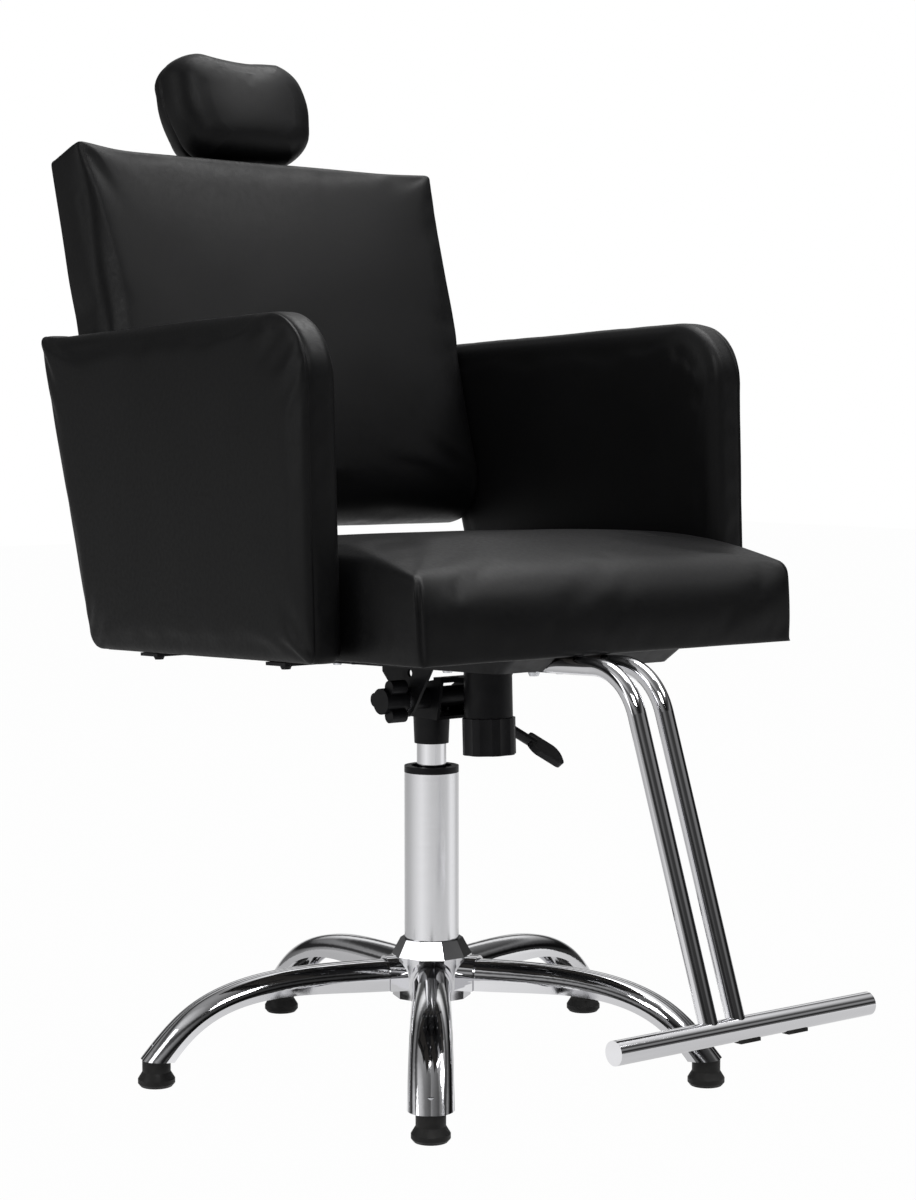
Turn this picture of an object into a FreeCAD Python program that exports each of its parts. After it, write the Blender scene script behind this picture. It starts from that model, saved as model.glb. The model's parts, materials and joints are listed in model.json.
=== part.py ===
import FreeCAD, Part
import math
import os

# Swivel chair for brow threading: five-legged base, gas column, reclining seat and lifting headrest.
# Millimetres. +Z is up, the origin is on the floor under the column, and the sitter faces -Y.

V = FreeCAD.Vector
ORIGIN = V(0, 0, 0)
UP = V(0, 0, 1)
ACROSS = V(1, 0, 0)
REARWARD = V(0, 1, 0)
FORWARD = V(0, -1, 0)
HALF = 0.5

# Shared fits
running_gap = 0.05
seat_gap = 0.3
overrun = 5.0

# Base
foot_circle = 265.0
leg_count = 5
first_leg_turn = 37.0
leg_root_radius = 36.3
leg_root_height = 89.0
leg_height = 27.0
leg_half_width = 20.0
leg_wall = 2.0
# Each station of a leg: run, mid height, dip in degrees, height and half width of the channel
leg_station_shares = (
    (0.000, 1.000, 0, 1.00, 0.86),
    (0.214, 1.008, 0, 0.96, 0.88),
    (0.432, 1.000, 4, 0.84, 0.90),
    (0.620, 0.938, 13, 0.74, 0.93),
    (0.773, 0.803, 27, 0.70, 0.96),
    (0.886, 0.607, 41, 0.70, 0.99),
    (0.952, 0.433, 49, 0.72, 1.01),
    (1.000, 0.281, 52, 0.76, 1.02),
    (1.044, 0.135, 52, 0.78, 1.02),
)
arch_side_share = 0.30
arch_bulge_shares = (0.68, 0.84)

# Glide feet
foot_height = 25.0
foot_boss_radius = 9.0
foot_boss_height = 19.0
foot_pin_radius = 4.0
foot_pin_depth = 13.0
glide_base_radius = 14.5
glide_skirt_radius = 17.0
glide_collar_radius = 13.0
glide_edge = 3.0
glide_skirt_height = 7.0
glide_collar_height = 13.5

# Hub
hub_skirt = 9.5
hub_shoulder = 4.0
hub_collar_height = 15.5
hub_sides = 10
hub_low_radius = 35.0
hub_high_radius = 36.0
hub_collar_radius = 28.0
hub_shoulder_radius = 20.0
socket_wall = 3.0
socket_reach = 10.0
socket_gap = 0.8

# Column and guide bush
column_radius = 25.7
column_wall = 2.0
column_length = 208.5
column_floor = 3.0
bush_length = 80.0
bush_gap = 0.1
bush_collar_height = 6.0
bush_recess_width = 5.0
bush_recess_depth = 3.0

# Gas spring
lift_travel = 100.0
cylinder_radius = 14.0
cylinder_wall = 2.0
cylinder_clear = 25.0
cylinder_gland = 12.0
cylinder_roof = 18.0
piston_show = 21.5
taper_length = 30.0
taper_radius = 13.2
rod_radius = 5.0
piston_height = 12.0
piston_spare = 3.0
race_outer_radius = 12.0
race_thickness = 2.0
ball_radius = 2.0
ball_count = 8
rod_collar_radius = 8.0
rod_collar_height = 3.0
clip_radius = 9.0
clip_thickness = 1.4
button_radius = 4.0
button_length = 14.0
button_travel = 3.0

# Tilt bracket on the gas spring
socket_top_radius = 17.3
socket_low_radius = 16.2
bracket_half_width = 27.0
bracket_plate = 3.0
bracket_front = 44.0
bracket_rear = 26.0
cheek_rear_height = 11.0
cheek_knee_back = 18.0
cheek_knee_rise = 12.0
pivot_ahead = 26.0
pivot_rise = 16.0
pivot_tube_radius = 10.0
pivot_pin_radius = 6.0
pivot_reach = 20.0
front_arm_half_width = 13.0
front_arm_thickness = 5.0
front_arm_drop = 29.0
front_arm_root = 50.0
front_arm_heel = 38.0
front_arm_tip = 9.5
front_slot_back = 13.0
front_slot_ahead = 5.5

# Lift lever
lever_radius = 3.5
lever_rise = 10.0
lever_pivot_x = 20.0
lever_tip_x = 5.0
lever_bend_x = 34.0
lever_drop = 29.4
lever_rod_run = 71.0
lever_bend_radius = 14.0
lever_pin_radius = 2.0
lever_window_gap = 3.0
lug_thickness = 3.0
lug_half_length = 5.0
lug_side_gap = 0.8
paddle_start = 58.0
paddle_length = 84.0
paddle_blade_length = 47.0
paddle_half_width = 13.0
paddle_thickness = 6.0
paddle_twist = 40.0
paddle_neck_radius = 5.0
paddle_neck_overlap = 8.0
paddle_round = 2.5

# Seat frame: everything above the pivot leans back by this angle
seat_tilt = 2.0
seat_above_pivot = 48.0

# Tray under the seat and its two ears
tray_half_width = 98.0
tray_front = 223.0
tray_rear = 60.0
tray_depth = 14.0
tray_side_flare = 3.0
tray_front_flare = 20.0
tray_rear_flare = 6.0
tray_corner = 10.0
tray_sheet = 2.5
tray_slot_gap = 0.5
ear_thickness = 3.0
ear_radius = 16.0
ear_front = 70.0
ear_rear = 10.0
ear_rear_drop = 10.0
ear_rear_slant = 9.0
ear_rear_depth = 19.0
ear_waist_depth = 30.0
ear_hole_radius = 3.5
ear_hole_front = 33.0
ear_hole_drop = 10.0
boss_radius = 8.0
tray_screw_x = 80.0
tray_screw_front = 130.0
tray_screw_rear = 40.0

# Fasteners
screw_radius = 3.0
screw_head_radius = 5.5
screw_head_height = 3.5
screw_bite = 8.0
head_crown_share = 0.7
pivot_hex_flats = 19.0
pivot_hex_height = 7.0
tension_hex_flats = 17.0
tension_hex_height = 6.4

# Tension spring with its bolt, housing and knob
tension_front = 85.0
tension_bolt_radius = 5.0
housing_radius = 22.2
housing_wall = 2.0
housing_length = 51.0
housing_slot_gap = 1.5
housing_slot_drop = 12.0
spring_radius = 11.0
spring_wire = 2.0
spring_turns = 7
knob_radius = 24.5
knob_length = 33.6
knob_floor = 8.0
knob_wall = 4.0
knob_flutes = 8
knob_flute_radius = 24.0
knob_flute_depth = 1.4

# Wing knob on the pivot bolt
washer_radius = 12.0
washer_thickness = 2.0
wing_hub_radius = 12.0
wing_length = 25.0
wing_bolt_reach = 17.0
wing_lobe_radius = 6.5
wing_lobe_reach = 15.0
wing_lobe_length = 17.0
wing_lobe_start = 4.0
wing_count = 3

# Seat cushion and its board
seat_half_width = 208.0
seat_front = 266.0
seat_rear = 190.0
seat_edge_height = 96.0
seat_crown = 7.0
seat_edge_round = 13.0
# Each station from front to rear: place, half width, edge height and crown above the edge
seat_station_shares = (
    (0.000, 0.984, 0.690, 0.20),
    (0.004, 0.994, 0.725, 0.30),
    (0.013, 0.998, 0.757, 0.40),
    (0.030, 1.000, 0.795, 0.50),
    (0.083, 1.000, 0.866, 0.65),
    (0.138, 1.000, 0.928, 0.80),
    (0.178, 1.000, 0.965, 0.90),
    (0.225, 1.000, 0.990, 1.00),
    (0.320, 0.998, 1.000, 1.00),
    (0.600, 0.998, 1.000, 1.00),
    (0.880, 1.000, 0.996, 0.90),
    (0.950, 1.000, 0.982, 0.75),
    (0.983, 0.998, 0.955, 0.60),
    (0.996, 0.993, 0.920, 0.50),
    (1.000, 0.984, 0.880, 0.40),
)
seat_board_inset = 10.0
seat_board_thickness = 12.0
seat_board_corner = 16.0

# Arms
arm_gap = 1.3
arm_thickness = 41.5
arm_front = 166.0
arm_rear_low = 203.0
arm_rear_top = 290.5
arm_height = 297.0
arm_front_round = 58.0
arm_heel_round = 20.0
arm_ear_round = 6.0
arm_toe_round = 8.0
arm_edge_round = 10.5
# Each station from a face inwards: its depth and how far the outline is drawn in there
arm_edge_shares = (
    (0.00, 1.60),
    (0.05, 0.95),
    (0.12, 0.50),
    (0.27, 0.20),
    (0.60, 0.03),
    (1.00, 0.00),
)
arm_waist_share = 0.08
arm_core_thickness = 18.0
arm_core_inset = 22.0
strap_half_width = 15.0
strap_thickness = 3.0
strap_inner_overlap = 56.0
strap_outer_overlap = 10.0
strap_places = (-100.0, 110.0)
strap_screw_inset = 14.0

# Backrest with its board
back_lean = 14.0
back_gap_above_seat = 18.7
back_foot_ahead = 11.8
back_side_gap = 1.3
back_length = 366.0
back_thickness = 62.0
back_crown = 8.0
back_edge_round = 12.0
# Each station from the lower end up: place, half width, edge thickness and crown above the edge
back_station_shares = (
    (0.000, 0.984, 0.400, 0.03),
    (0.008, 0.993, 0.540, 0.08),
    (0.022, 0.998, 0.690, 0.18),
    (0.045, 1.000, 0.820, 0.32),
    (0.075, 1.000, 0.915, 0.48),
    (0.115, 1.000, 0.975, 0.65),
    (0.200, 0.998, 0.998, 0.85),
    (0.350, 0.996, 1.000, 0.98),
    (0.500, 0.995, 1.000, 1.00),
    (0.700, 0.997, 1.000, 0.95),
    (0.890, 1.000, 0.998, 0.70),
    (0.955, 1.000, 0.985, 0.45),
    (0.983, 0.998, 0.955, 0.28),
    (0.995, 0.993, 0.905, 0.14),
    (1.000, 0.984, 0.840, 0.04),
)
back_board_inset = 9.0
back_board_thickness = 12.0
back_board_corner = 12.0

# Flat bent bar that carries the backrest
bar_half_width = 30.0
bar_thickness = 8.0
bar_front = 72.0
bar_bend_radius = 25.0
bar_post_gap = 25.0
bar_screw_x = 15.0
bar_seat_screws = (90.0, 165.0)
bar_foot_screw = 60.0
bar_top_screw_inset = 25.0

# Footrest
tube_radius = 8.0
tube_wall = 1.5
tube_pair_x = -24.0
tube_spacing = 30.0
tube_rear = 178.0
tube_corner = 322.0
tube_lean = 18.0
tube_bend_radius = 55.0
tube_drop = 306.0
tube_screw = 200.0
footbar_radius = 10.0
footbar_wall = 1.5
footbar_half_length = 139.0
cap_thickness = 3.0
cap_plug = 12.0
bumper_middle = 29.0
bumper_spacing = 54.0
bumper_length = 22.0
bumper_half_width = 4.0
bumper_height = 2.0

# Headrest
head_width = 165.0
head_height = 111.0
head_depth = 70.0
head_clear = 10.0
# Outline of the pillow as arcs: where each starts and its middle, as shares of width and height
head_outline_shares = (
    (-0.333, 0.018, 0.000, 0.000),
    (0.333, 0.018, 0.444, 0.108),
    (0.489, 0.342, 0.500, 0.523),
    (0.478, 0.730, 0.411, 0.905),
    (0.294, 0.977, 0.183, 0.968),
    (0.067, 0.946, -0.111, 0.962),
    (-0.306, 0.991, -0.433, 0.892),
    (-0.500, 0.685, -0.494, 0.432),
    (-0.461, 0.225, -0.411, 0.081),
)
# Each station from the face to the back: place through the depth and size of the outline
head_station_shares = (
    (0.00, 0.56),
    (0.04, 0.70),
    (0.12, 0.84),
    (0.26, 0.95),
    (0.46, 1.00),
    (0.70, 0.99),
    (0.88, 0.95),
    (0.97, 0.89),
    (1.00, 0.83),
)
head_board_half_width = 50.0
head_board_thickness = 8.0
head_board_margin = 22.0
post_half_width = 15.0
post_thickness = 6.0
post_engagement = 125.0
post_top_inset = 4.0
post_screw_inset = 12.0
post_screw_bite = 6.0

# Sleeve and clamp of the headrest
sleeve_wall = 4.0
sleeve_gap = 0.1
sleeve_below_top = 105.0
sleeve_length = 80.0
sleeve_flange = 17.0
sleeve_flange_thickness = 3.0
sleeve_screw_inset = 14.0
clamp_stud_radius = 4.0
clamp_knob_radius = 14.0
clamp_knob_length = 22.0
clamp_flutes = 5
clamp_flute_radius = 6.0
clamp_flute_depth = 2.5


def cylinder(start, end, radius):
    """Solid round bar between two points."""
    axis = end.sub(start)
    return Part.makeCylinder(radius, axis.Length, start, axis)


def ring(start, end, outer, inner):
    return cylinder(start, end, outer).cut(cylinder(start, end, inner))


def box(x0, x1, y0, y1, z0, z1):
    return Part.makeBox(x1 - x0, y1 - y0, z1 - z0, V(x0, y0, z0))


def turned(outline):
    """Solid of revolution about Z from corners of radius and height."""
    points = [V(r, 0, z) for r, z in outline]
    return Part.Face(Part.makePolygon(points + [points[0]])).revolve(ORIGIN, UP, 360)


def prism(points, direction):
    """Solid pushed out of a flat polygon."""
    return Part.Face(Part.makePolygon(points + [points[0]])).extrude(direction)


def fused(shapes):
    return shapes[0].multiFuse(shapes[1:]).removeSplitter()


def corner_arc(start, corner, end):
    """Arc tangent to both sides of a corner; start and end lie equally far from it."""
    back = start.sub(corner)
    ahead = end.sub(corner)
    reach = back.Length
    half_angle = back.getAngle(ahead) * HALF
    middle = back.normalize().add(ahead.normalize()).normalize()
    depth = reach / math.cos(half_angle) - reach * math.tan(half_angle)
    return Part.Arc(start, corner.add(middle * depth), end).toShape()


def bend_ends(before, corner, after, radius):
    """Where an arc of the given radius starts and ends in a corner."""
    back = before.sub(corner).normalize()
    ahead = after.sub(corner).normalize()
    reach = radius / math.tan(back.getAngle(ahead) * HALF)
    return corner.add(back * reach), corner.add(ahead * reach)


def line(start, end):
    return Part.LineSegment(start, end).toShape()


def rounded_wire(corners, radii):
    """Closed wire of lines and arcs round a convex outline of points."""
    count = len(corners)
    bends = []
    for k in range(count):
        bends.append(bend_ends(corners[k - 1], corners[k], corners[(k + 1) % count], radii[k]))
    edges = []
    for k in range(count):
        edges.append(corner_arc(bends[k][0], corners[k], bends[k][1]))
        edges.append(line(bends[k][1], bends[(k + 1) % count][0]))
    return Part.Wire(edges)


def rounded_plate(x0, x1, y0, y1, z0, z1, radius):
    """Flat board with rounded corners."""
    corners = [V(x0, y0, z0), V(x1, y0, z0), V(x1, y1, z0), V(x0, y1, z0)]
    return Part.Face(rounded_wire(corners, [radius] * len(corners))).extrude(V(0, 0, z1 - z0))


def drawn_in(corners, distance):
    """The same convex outline, given anticlockwise as (u, w), with every side moved inwards."""
    count = len(corners)
    sides = []
    for k in range(count):
        u0, w0 = corners[k]
        u1, w1 = corners[(k + 1) % count]
        length = math.hypot(u1 - u0, w1 - w0)
        nu = (w0 - w1) / length
        nw = (u1 - u0) / length
        sides.append((nu, nw, nu * u0 + nw * w0 + distance))
    moved = []
    for k in range(count):
        a1, b1, c1 = sides[k - 1]
        a2, b2, c2 = sides[k]
        det = a1 * b2 - a2 * b1
        moved.append(((c1 * b2 - c2 * b1) / det, (a1 * c2 - a2 * c1) / det))
    return moved


def bent_path(points, radius):
    """Straight runs joined by tangent arcs of one radius."""
    edges = []
    start = points[0]
    for k in range(1, len(points) - 1):
        first, last = bend_ends(points[k - 1], points[k], points[k + 1], radius)
        edges.append(line(start, first))
        edges.append(corner_arc(first, points[k], last))
        start = last
    edges.append(line(start, points[-1]))
    return Part.Wire(edges)


def round_section(centre, axis, radius):
    return Part.Wire([Part.Circle(centre, axis, radius).toShape()])


def bent_rod(points, bend_radius, radius):
    section = round_section(points[0], points[1].sub(points[0]), radius)
    return bent_path(points, bend_radius).makePipeShell([section], True, False)


def hex_head(centre, direction, flats, height):
    """Six-sided head or nut that grows from centre along direction."""
    corner = flats * HALF / math.cos(math.pi / 6)
    points = []
    for k in range(6):
        angle = math.pi * k / 3
        points.append(V(corner * math.cos(angle), corner * math.sin(angle), 0))
    solid = prism(points, V(0, 0, height))
    solid.Placement = FreeCAD.Placement(centre, FreeCAD.Rotation(UP, direction))
    return solid


def screw(point, way, depth):
    """Screw whose head sits outside point and whose shank runs along the unit vector way."""
    head = Part.makeCone(
        screw_head_radius, screw_head_radius * head_crown_share, screw_head_height, point, way * -1
    )
    return head.fuse(cylinder(point, point.add(way * depth), screw_radius)).removeSplitter()


def screw_hole(point, way, depth):
    return cylinder(point, point.add(way * (depth + seat_gap)), screw_radius + running_gap)


def fluted(length, radius, flutes, flute_radius, flute_depth):
    """Grip along +Z from the origin, with round flutes down its side."""
    grip = cylinder(ORIGIN, V(0, 0, length), radius)
    cutters = []
    reach = radius + flute_radius - flute_depth
    for k in range(flutes):
        angle = 2 * math.pi * k / flutes
        foot = V(reach * math.cos(angle), reach * math.sin(angle), -overrun)
        cutters.append(cylinder(foot, foot.add(UP * (length + 2 * overrun)), flute_radius))
    return grip.cut(Part.makeCompound(cutters))


def cushion(half_width, start, length, edge_height, crown, edge_round, shares):
    """Crowned pad with sides drawn in: X across, Y along, flat side at Z 0."""
    wires = []
    for place, wide, tall, swell in shares:
        y = start + place * length
        a = wide * half_width
        b = a - edge_round
        edge = tall * edge_height
        side = edge - edge_round
        lean = edge_round * (1 - math.sqrt(HALF))
        left = Part.Arc(V(-a, y, side), V(lean - a, y, edge - lean), V(-b, y, edge))
        top = Part.Arc(V(-b, y, edge), V(0, y, edge + swell * crown), V(b, y, edge))
        right = Part.Arc(V(b, y, edge), V(a - lean, y, edge - lean), V(a, y, side))
        wires.append(Part.Wire([
            line(V(a, y, 0), V(-a, y, 0)),
            line(V(-a, y, 0), V(-a, y, side)),
            left.toShape(),
            top.toShape(),
            right.toShape(),
            line(V(a, y, side), V(a, y, 0)),
        ]))
    return Part.makeLoft(wires, True, True)


parts = {}

# Heights and places that stack up from the floor
leg_run = foot_circle - leg_root_radius
leg_top_height = leg_root_height + leg_height * HALF
hub_low = leg_root_height - leg_height * HALF - hub_skirt
hub_body_high = leg_top_height + socket_wall
hub_top = hub_body_high + hub_collar_height
column_low = hub_low + hub_shoulder
column_top = column_low + column_length
bush_top = column_top + bush_collar_height
cylinder_low = column_low + cylinder_clear
taper_low = bush_top + piston_show
taper_top = taper_low + taper_length
pivot_z = taper_top + pivot_rise
seat_height = pivot_z + seat_above_pivot

seat_frame = FreeCAD.Placement(V(0, 0, seat_height), FreeCAD.Rotation(ACROSS, -seat_tilt))
back_foot = V(0, seat_rear - back_foot_ahead, seat_edge_height + seat_crown + back_gap_above_seat)
back_frame = seat_frame.multiply(
    FreeCAD.Placement(back_foot, FreeCAD.Rotation(ACROSS, -back_lean))
)


def on_seat(shape):
    """Move a shape from the seat's frame: X across, Y rearward, Z up from the underside."""
    shape.Placement = seat_frame.multiply(shape.Placement)
    return shape


def on_back(shape):
    """Move a shape from the backrest's frame: Y into its thickness, Z up along it."""
    shape.Placement = back_frame.multiply(shape.Placement)
    return shape


def seat_from_back(point):
    """A point of the backrest's frame, given in the seat's frame."""
    return seat_frame.inverse().multVec(back_frame.multVec(point))


pivot = V(0, -pivot_ahead, pivot_z)
pivot_seat = seat_frame.inverse().multVec(pivot)


# Legs: open channels with a soft ridge, arched out and down to the foot
def arch_wire(radius, height, dip, half_width, half_height, grow, sink):
    """Section of a leg across its run, about a point of its side view.

    It can be grown outwards, and its open side can be pushed further down.
    """
    angle = math.radians(dip)
    centre = V(radius, 0, height)
    rise = V(math.sin(angle), 0, math.cos(angle))
    wide = half_width + grow
    tall = 2 * half_height + grow
    bulge_out, bulge_up = arch_bulge_shares

    def at(side, up):
        return centre.add(REARWARD * (side * wide)).add(rise * (up * tall - half_height))

    left_foot = at(-1, 0).sub(rise * sink)
    right_foot = at(1, 0).sub(rise * sink)
    left = Part.Arc(at(-1, arch_side_share), at(-bulge_out, bulge_up), at(0, 1))
    right = Part.Arc(at(0, 1), at(bulge_out, bulge_up), at(1, arch_side_share))
    return Part.Wire([
        line(left_foot, at(-1, arch_side_share)),
        left.toShape(),
        right.toShape(),
        line(at(1, arch_side_share), right_foot),
        line(right_foot, left_foot),
    ])


def leg_loft(grow, sink):
    """Leg grown outwards by one amount, with its open side pushed down by another."""
    wires = []
    for run, mid, dip, tall, wide in leg_station_shares:
        wires.append(arch_wire(
            leg_root_radius + run * leg_run, mid * leg_root_height, dip,
            wide * leg_half_width, tall * leg_height * HALF, grow, sink,
        ))
    return Part.makeLoft(wires, True, False)


foot = V(foot_circle, 0, 0)
pin_low = foot_height - foot_pin_depth
pin_top = foot_height + foot_pin_depth


def one_leg():
    outer = leg_loft(0, 0)
    hollow = leg_loft(-leg_wall, overrun * HALF)
    reach = foot_circle * 2
    below = box(-reach, reach, -reach, reach, -reach, foot_height)
    boss = cylinder(foot, foot.add(UP * (foot_height + foot_boss_height)), foot_boss_radius)
    pin_hole = cylinder(foot, foot.add(UP * (pin_top + seat_gap)), foot_pin_radius + running_gap)
    leg = outer.cut(hollow).fuse(boss.common(outer))
    return leg.cut(below).cut(pin_hole).removeSplitter()


def one_glide():
    top = foot_height - seat_gap
    glide = turned([
        (0, 0),
        (glide_base_radius, 0),
        (glide_skirt_radius, glide_edge),
        (glide_skirt_radius, glide_skirt_height),
        (glide_collar_radius, glide_collar_height),
        (glide_collar_radius, top),
        (0, top),
    ])
    hole = cylinder(V(0, 0, pin_low), V(0, 0, foot_height), foot_pin_radius + running_gap)
    return glide.cut(hole)


def leg_angle(number):
    """Bearing of a leg from +X; the first leans away from straight ahead."""
    return -90 - first_leg_turn + 360 * number / leg_count


leg_shape = one_leg()
glide_shape = one_glide()
pins = []
for number in range(leg_count):
    leg = leg_shape.copy()
    leg.rotate(ORIGIN, UP, leg_angle(number))
    parts["leg_%d" % (number + 1)] = leg
    place = FreeCAD.Rotation(UP, leg_angle(number)).multVec(foot)
    glide = glide_shape.copy()
    glide.translate(place)
    parts["glide_%d" % (number + 1)] = glide
    pins.append(cylinder(
        place.add(UP * (pin_low + seat_gap)), place.add(UP * pin_top), foot_pin_radius
    ))
parts["glide_pins"] = Part.makeCompound(pins)


# Hub: the column drops in from above and each leg plugs into a side socket
def faceted(low, low_radius, high, high_radius):
    """Tapered block with flat facets, one of them facing each leg."""
    wires = []
    for height, radius in ((low, low_radius), (high, high_radius)):
        corner = radius / math.cos(math.pi / hub_sides)
        points = []
        for k in range(hub_sides):
            angle = math.pi * (2 * k + 1) / hub_sides + math.radians(leg_angle(0))
            points.append(V(corner * math.cos(angle), corner * math.sin(angle), height))
        wires.append(Part.makePolygon(points + [points[0]]))
    return Part.makeLoft(wires, True, True)


def leg_sleeve(start, end, grow, sink):
    """Straight stretch of the leg's root section, grown all round and lengthened downwards."""
    root_half_width = leg_station_shares[0][-1] * leg_half_width
    wires = []
    for radius in (start, end):
        wires.append(arch_wire(
            radius, leg_root_height, 0, root_half_width, leg_height * HALF, grow, sink
        ))
    return Part.makeLoft(wires, True, True)


def hub():
    pieces = [
        faceted(hub_low, hub_low_radius, hub_body_high, hub_high_radius),
        faceted(hub_body_high, hub_high_radius, hub_top, hub_collar_radius),
    ]
    pockets = []
    mouth = leg_root_radius + socket_reach
    for number in range(leg_count):
        sleeve = leg_sleeve(column_radius, mouth, socket_wall, 0)
        pocket = leg_sleeve(leg_root_radius - seat_gap, mouth + overrun, socket_gap, overrun)
        for shape in (sleeve, pocket):
            shape.rotate(ORIGIN, UP, leg_angle(number))
        pieces.append(sleeve)
        pockets.append(pocket)
    bore = turned([
        (0, hub_low - overrun),
        (hub_shoulder_radius, hub_low - overrun),
        (hub_shoulder_radius, column_low),
        (column_radius + running_gap, column_low),
        (column_radius + running_gap, hub_top + overrun),
        (0, hub_top + overrun),
    ])
    return fused(pieces).cut(Part.makeCompound(pockets)).cut(bore)


parts["hub"] = hub()


# Column tube, swivel bearing and gas spring
floor_top = column_low + column_floor
ball_height = floor_top + race_thickness + ball_radius
upper_race_low = ball_height + ball_radius + running_gap
collar_low = upper_race_low + race_thickness
ball_ring = (rod_radius + race_outer_radius) * HALF + running_gap
piston_low = cylinder_low + cylinder_gland + lift_travel + piston_spare
rod_top = piston_low + piston_height
bore_radius = cylinder_radius - cylinder_wall
rod_bore = rod_radius + running_gap


def column_tube():
    tube = cylinder(V(0, 0, column_low), V(0, 0, column_top), column_radius)
    hollow = cylinder(V(0, 0, floor_top), V(0, 0, column_top), column_radius - column_wall)
    return tube.cut(hollow).cut(cylinder(ORIGIN, V(0, 0, floor_top), rod_bore))


def guide_bush():
    inner = cylinder_radius + running_gap
    outer = column_radius - column_wall - bush_gap
    return turned([
        (inner, column_top - bush_length),
        (outer, column_top - bush_length),
        (outer, column_top),
        (column_radius, column_top),
        (column_radius, bush_top),
        (inner + bush_recess_width, bush_top),
        (inner + bush_recess_width, bush_top - bush_recess_depth),
        (inner, bush_top - bush_recess_depth),
    ])


def bearing_balls():
    balls = []
    for k in range(ball_count):
        angle = 2 * math.pi * k / ball_count
        balls.append(Part.makeSphere(
            ball_radius, V(ball_ring * math.cos(angle), ball_ring * math.sin(angle), ball_height)
        ))
    return Part.makeCompound(balls)


def gas_cylinder():
    wall = cylinder(V(0, 0, cylinder_low), V(0, 0, taper_low), cylinder_radius)
    taper = Part.makeCone(cylinder_radius, taper_radius, taper_length, V(0, 0, taper_low))
    chamber = cylinder(
        V(0, 0, cylinder_low + cylinder_gland), V(0, 0, taper_top - cylinder_roof), bore_radius
    )
    gland = cylinder(V(0, 0, cylinder_low), V(0, 0, cylinder_low + cylinder_gland), rod_bore)
    well = cylinder(V(0, 0, button_low - button_travel - seat_gap), V(0, 0, taper_top),
                    button_radius + running_gap)
    return wall.fuse(taper).cut(chamber).cut(gland).cut(well).removeSplitter()


lever_z = taper_top + lever_rise
button_top = lever_z - lever_radius - seat_gap
button_low = button_top - button_length

parts["column_tube"] = column_tube()
parts["guide_bush"] = guide_bush()
parts["bearing_lower_race"] = ring(
    V(0, 0, floor_top), V(0, 0, floor_top + race_thickness), race_outer_radius,
    rod_radius + bush_gap,
)
parts["bearing_balls"] = bearing_balls()
parts["bearing_upper_race"] = ring(
    V(0, 0, upper_race_low), V(0, 0, collar_low), race_outer_radius, rod_bore
)
parts["piston_rod"] = fused([
    cylinder(V(0, 0, hub_low), V(0, 0, rod_top), rod_radius),
    cylinder(V(0, 0, collar_low), V(0, 0, collar_low + rod_collar_height), rod_collar_radius),
    cylinder(V(0, 0, piston_low), V(0, 0, rod_top), bore_radius - running_gap),
])
clip_top = column_low - seat_gap
parts["rod_clip"] = ring(
    V(0, 0, clip_top - clip_thickness), V(0, 0, clip_top), clip_radius, rod_radius
)
parts["gas_cylinder"] = gas_cylinder()
parts["gas_button"] = cylinder(V(0, 0, button_low), V(0, 0, button_top), button_radius)


# Tilt bracket: pushed onto the gas spring, it carries the pivot and the arm of the tension spring
front_arm_low = -front_arm_drop - front_arm_thickness
ear_inner = bracket_half_width + pivot_reach + seat_gap
ear_outer = ear_inner + ear_thickness


def cheek(x0, x1):
    plate_low = taper_top - bracket_plate
    arm_middle = front_arm_low + front_arm_thickness * HALF
    heel = seat_frame.multVec(V(0, -front_arm_heel, arm_middle))
    root = seat_frame.multVec(V(0, -front_arm_root, arm_middle))
    knee = pivot.add(V(0, cheek_knee_back, cheek_knee_rise))
    outline = [
        (bracket_rear, plate_low),
        (bracket_rear, plate_low + cheek_rear_height),
        (knee.y, knee.z),
        (heel.y, heel.z),
        (root.y, root.z),
        (-bracket_front, plate_low),
    ]
    return prism([V(x0, y, z) for y, z in outline], V(x1 - x0, 0, 0))


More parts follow.
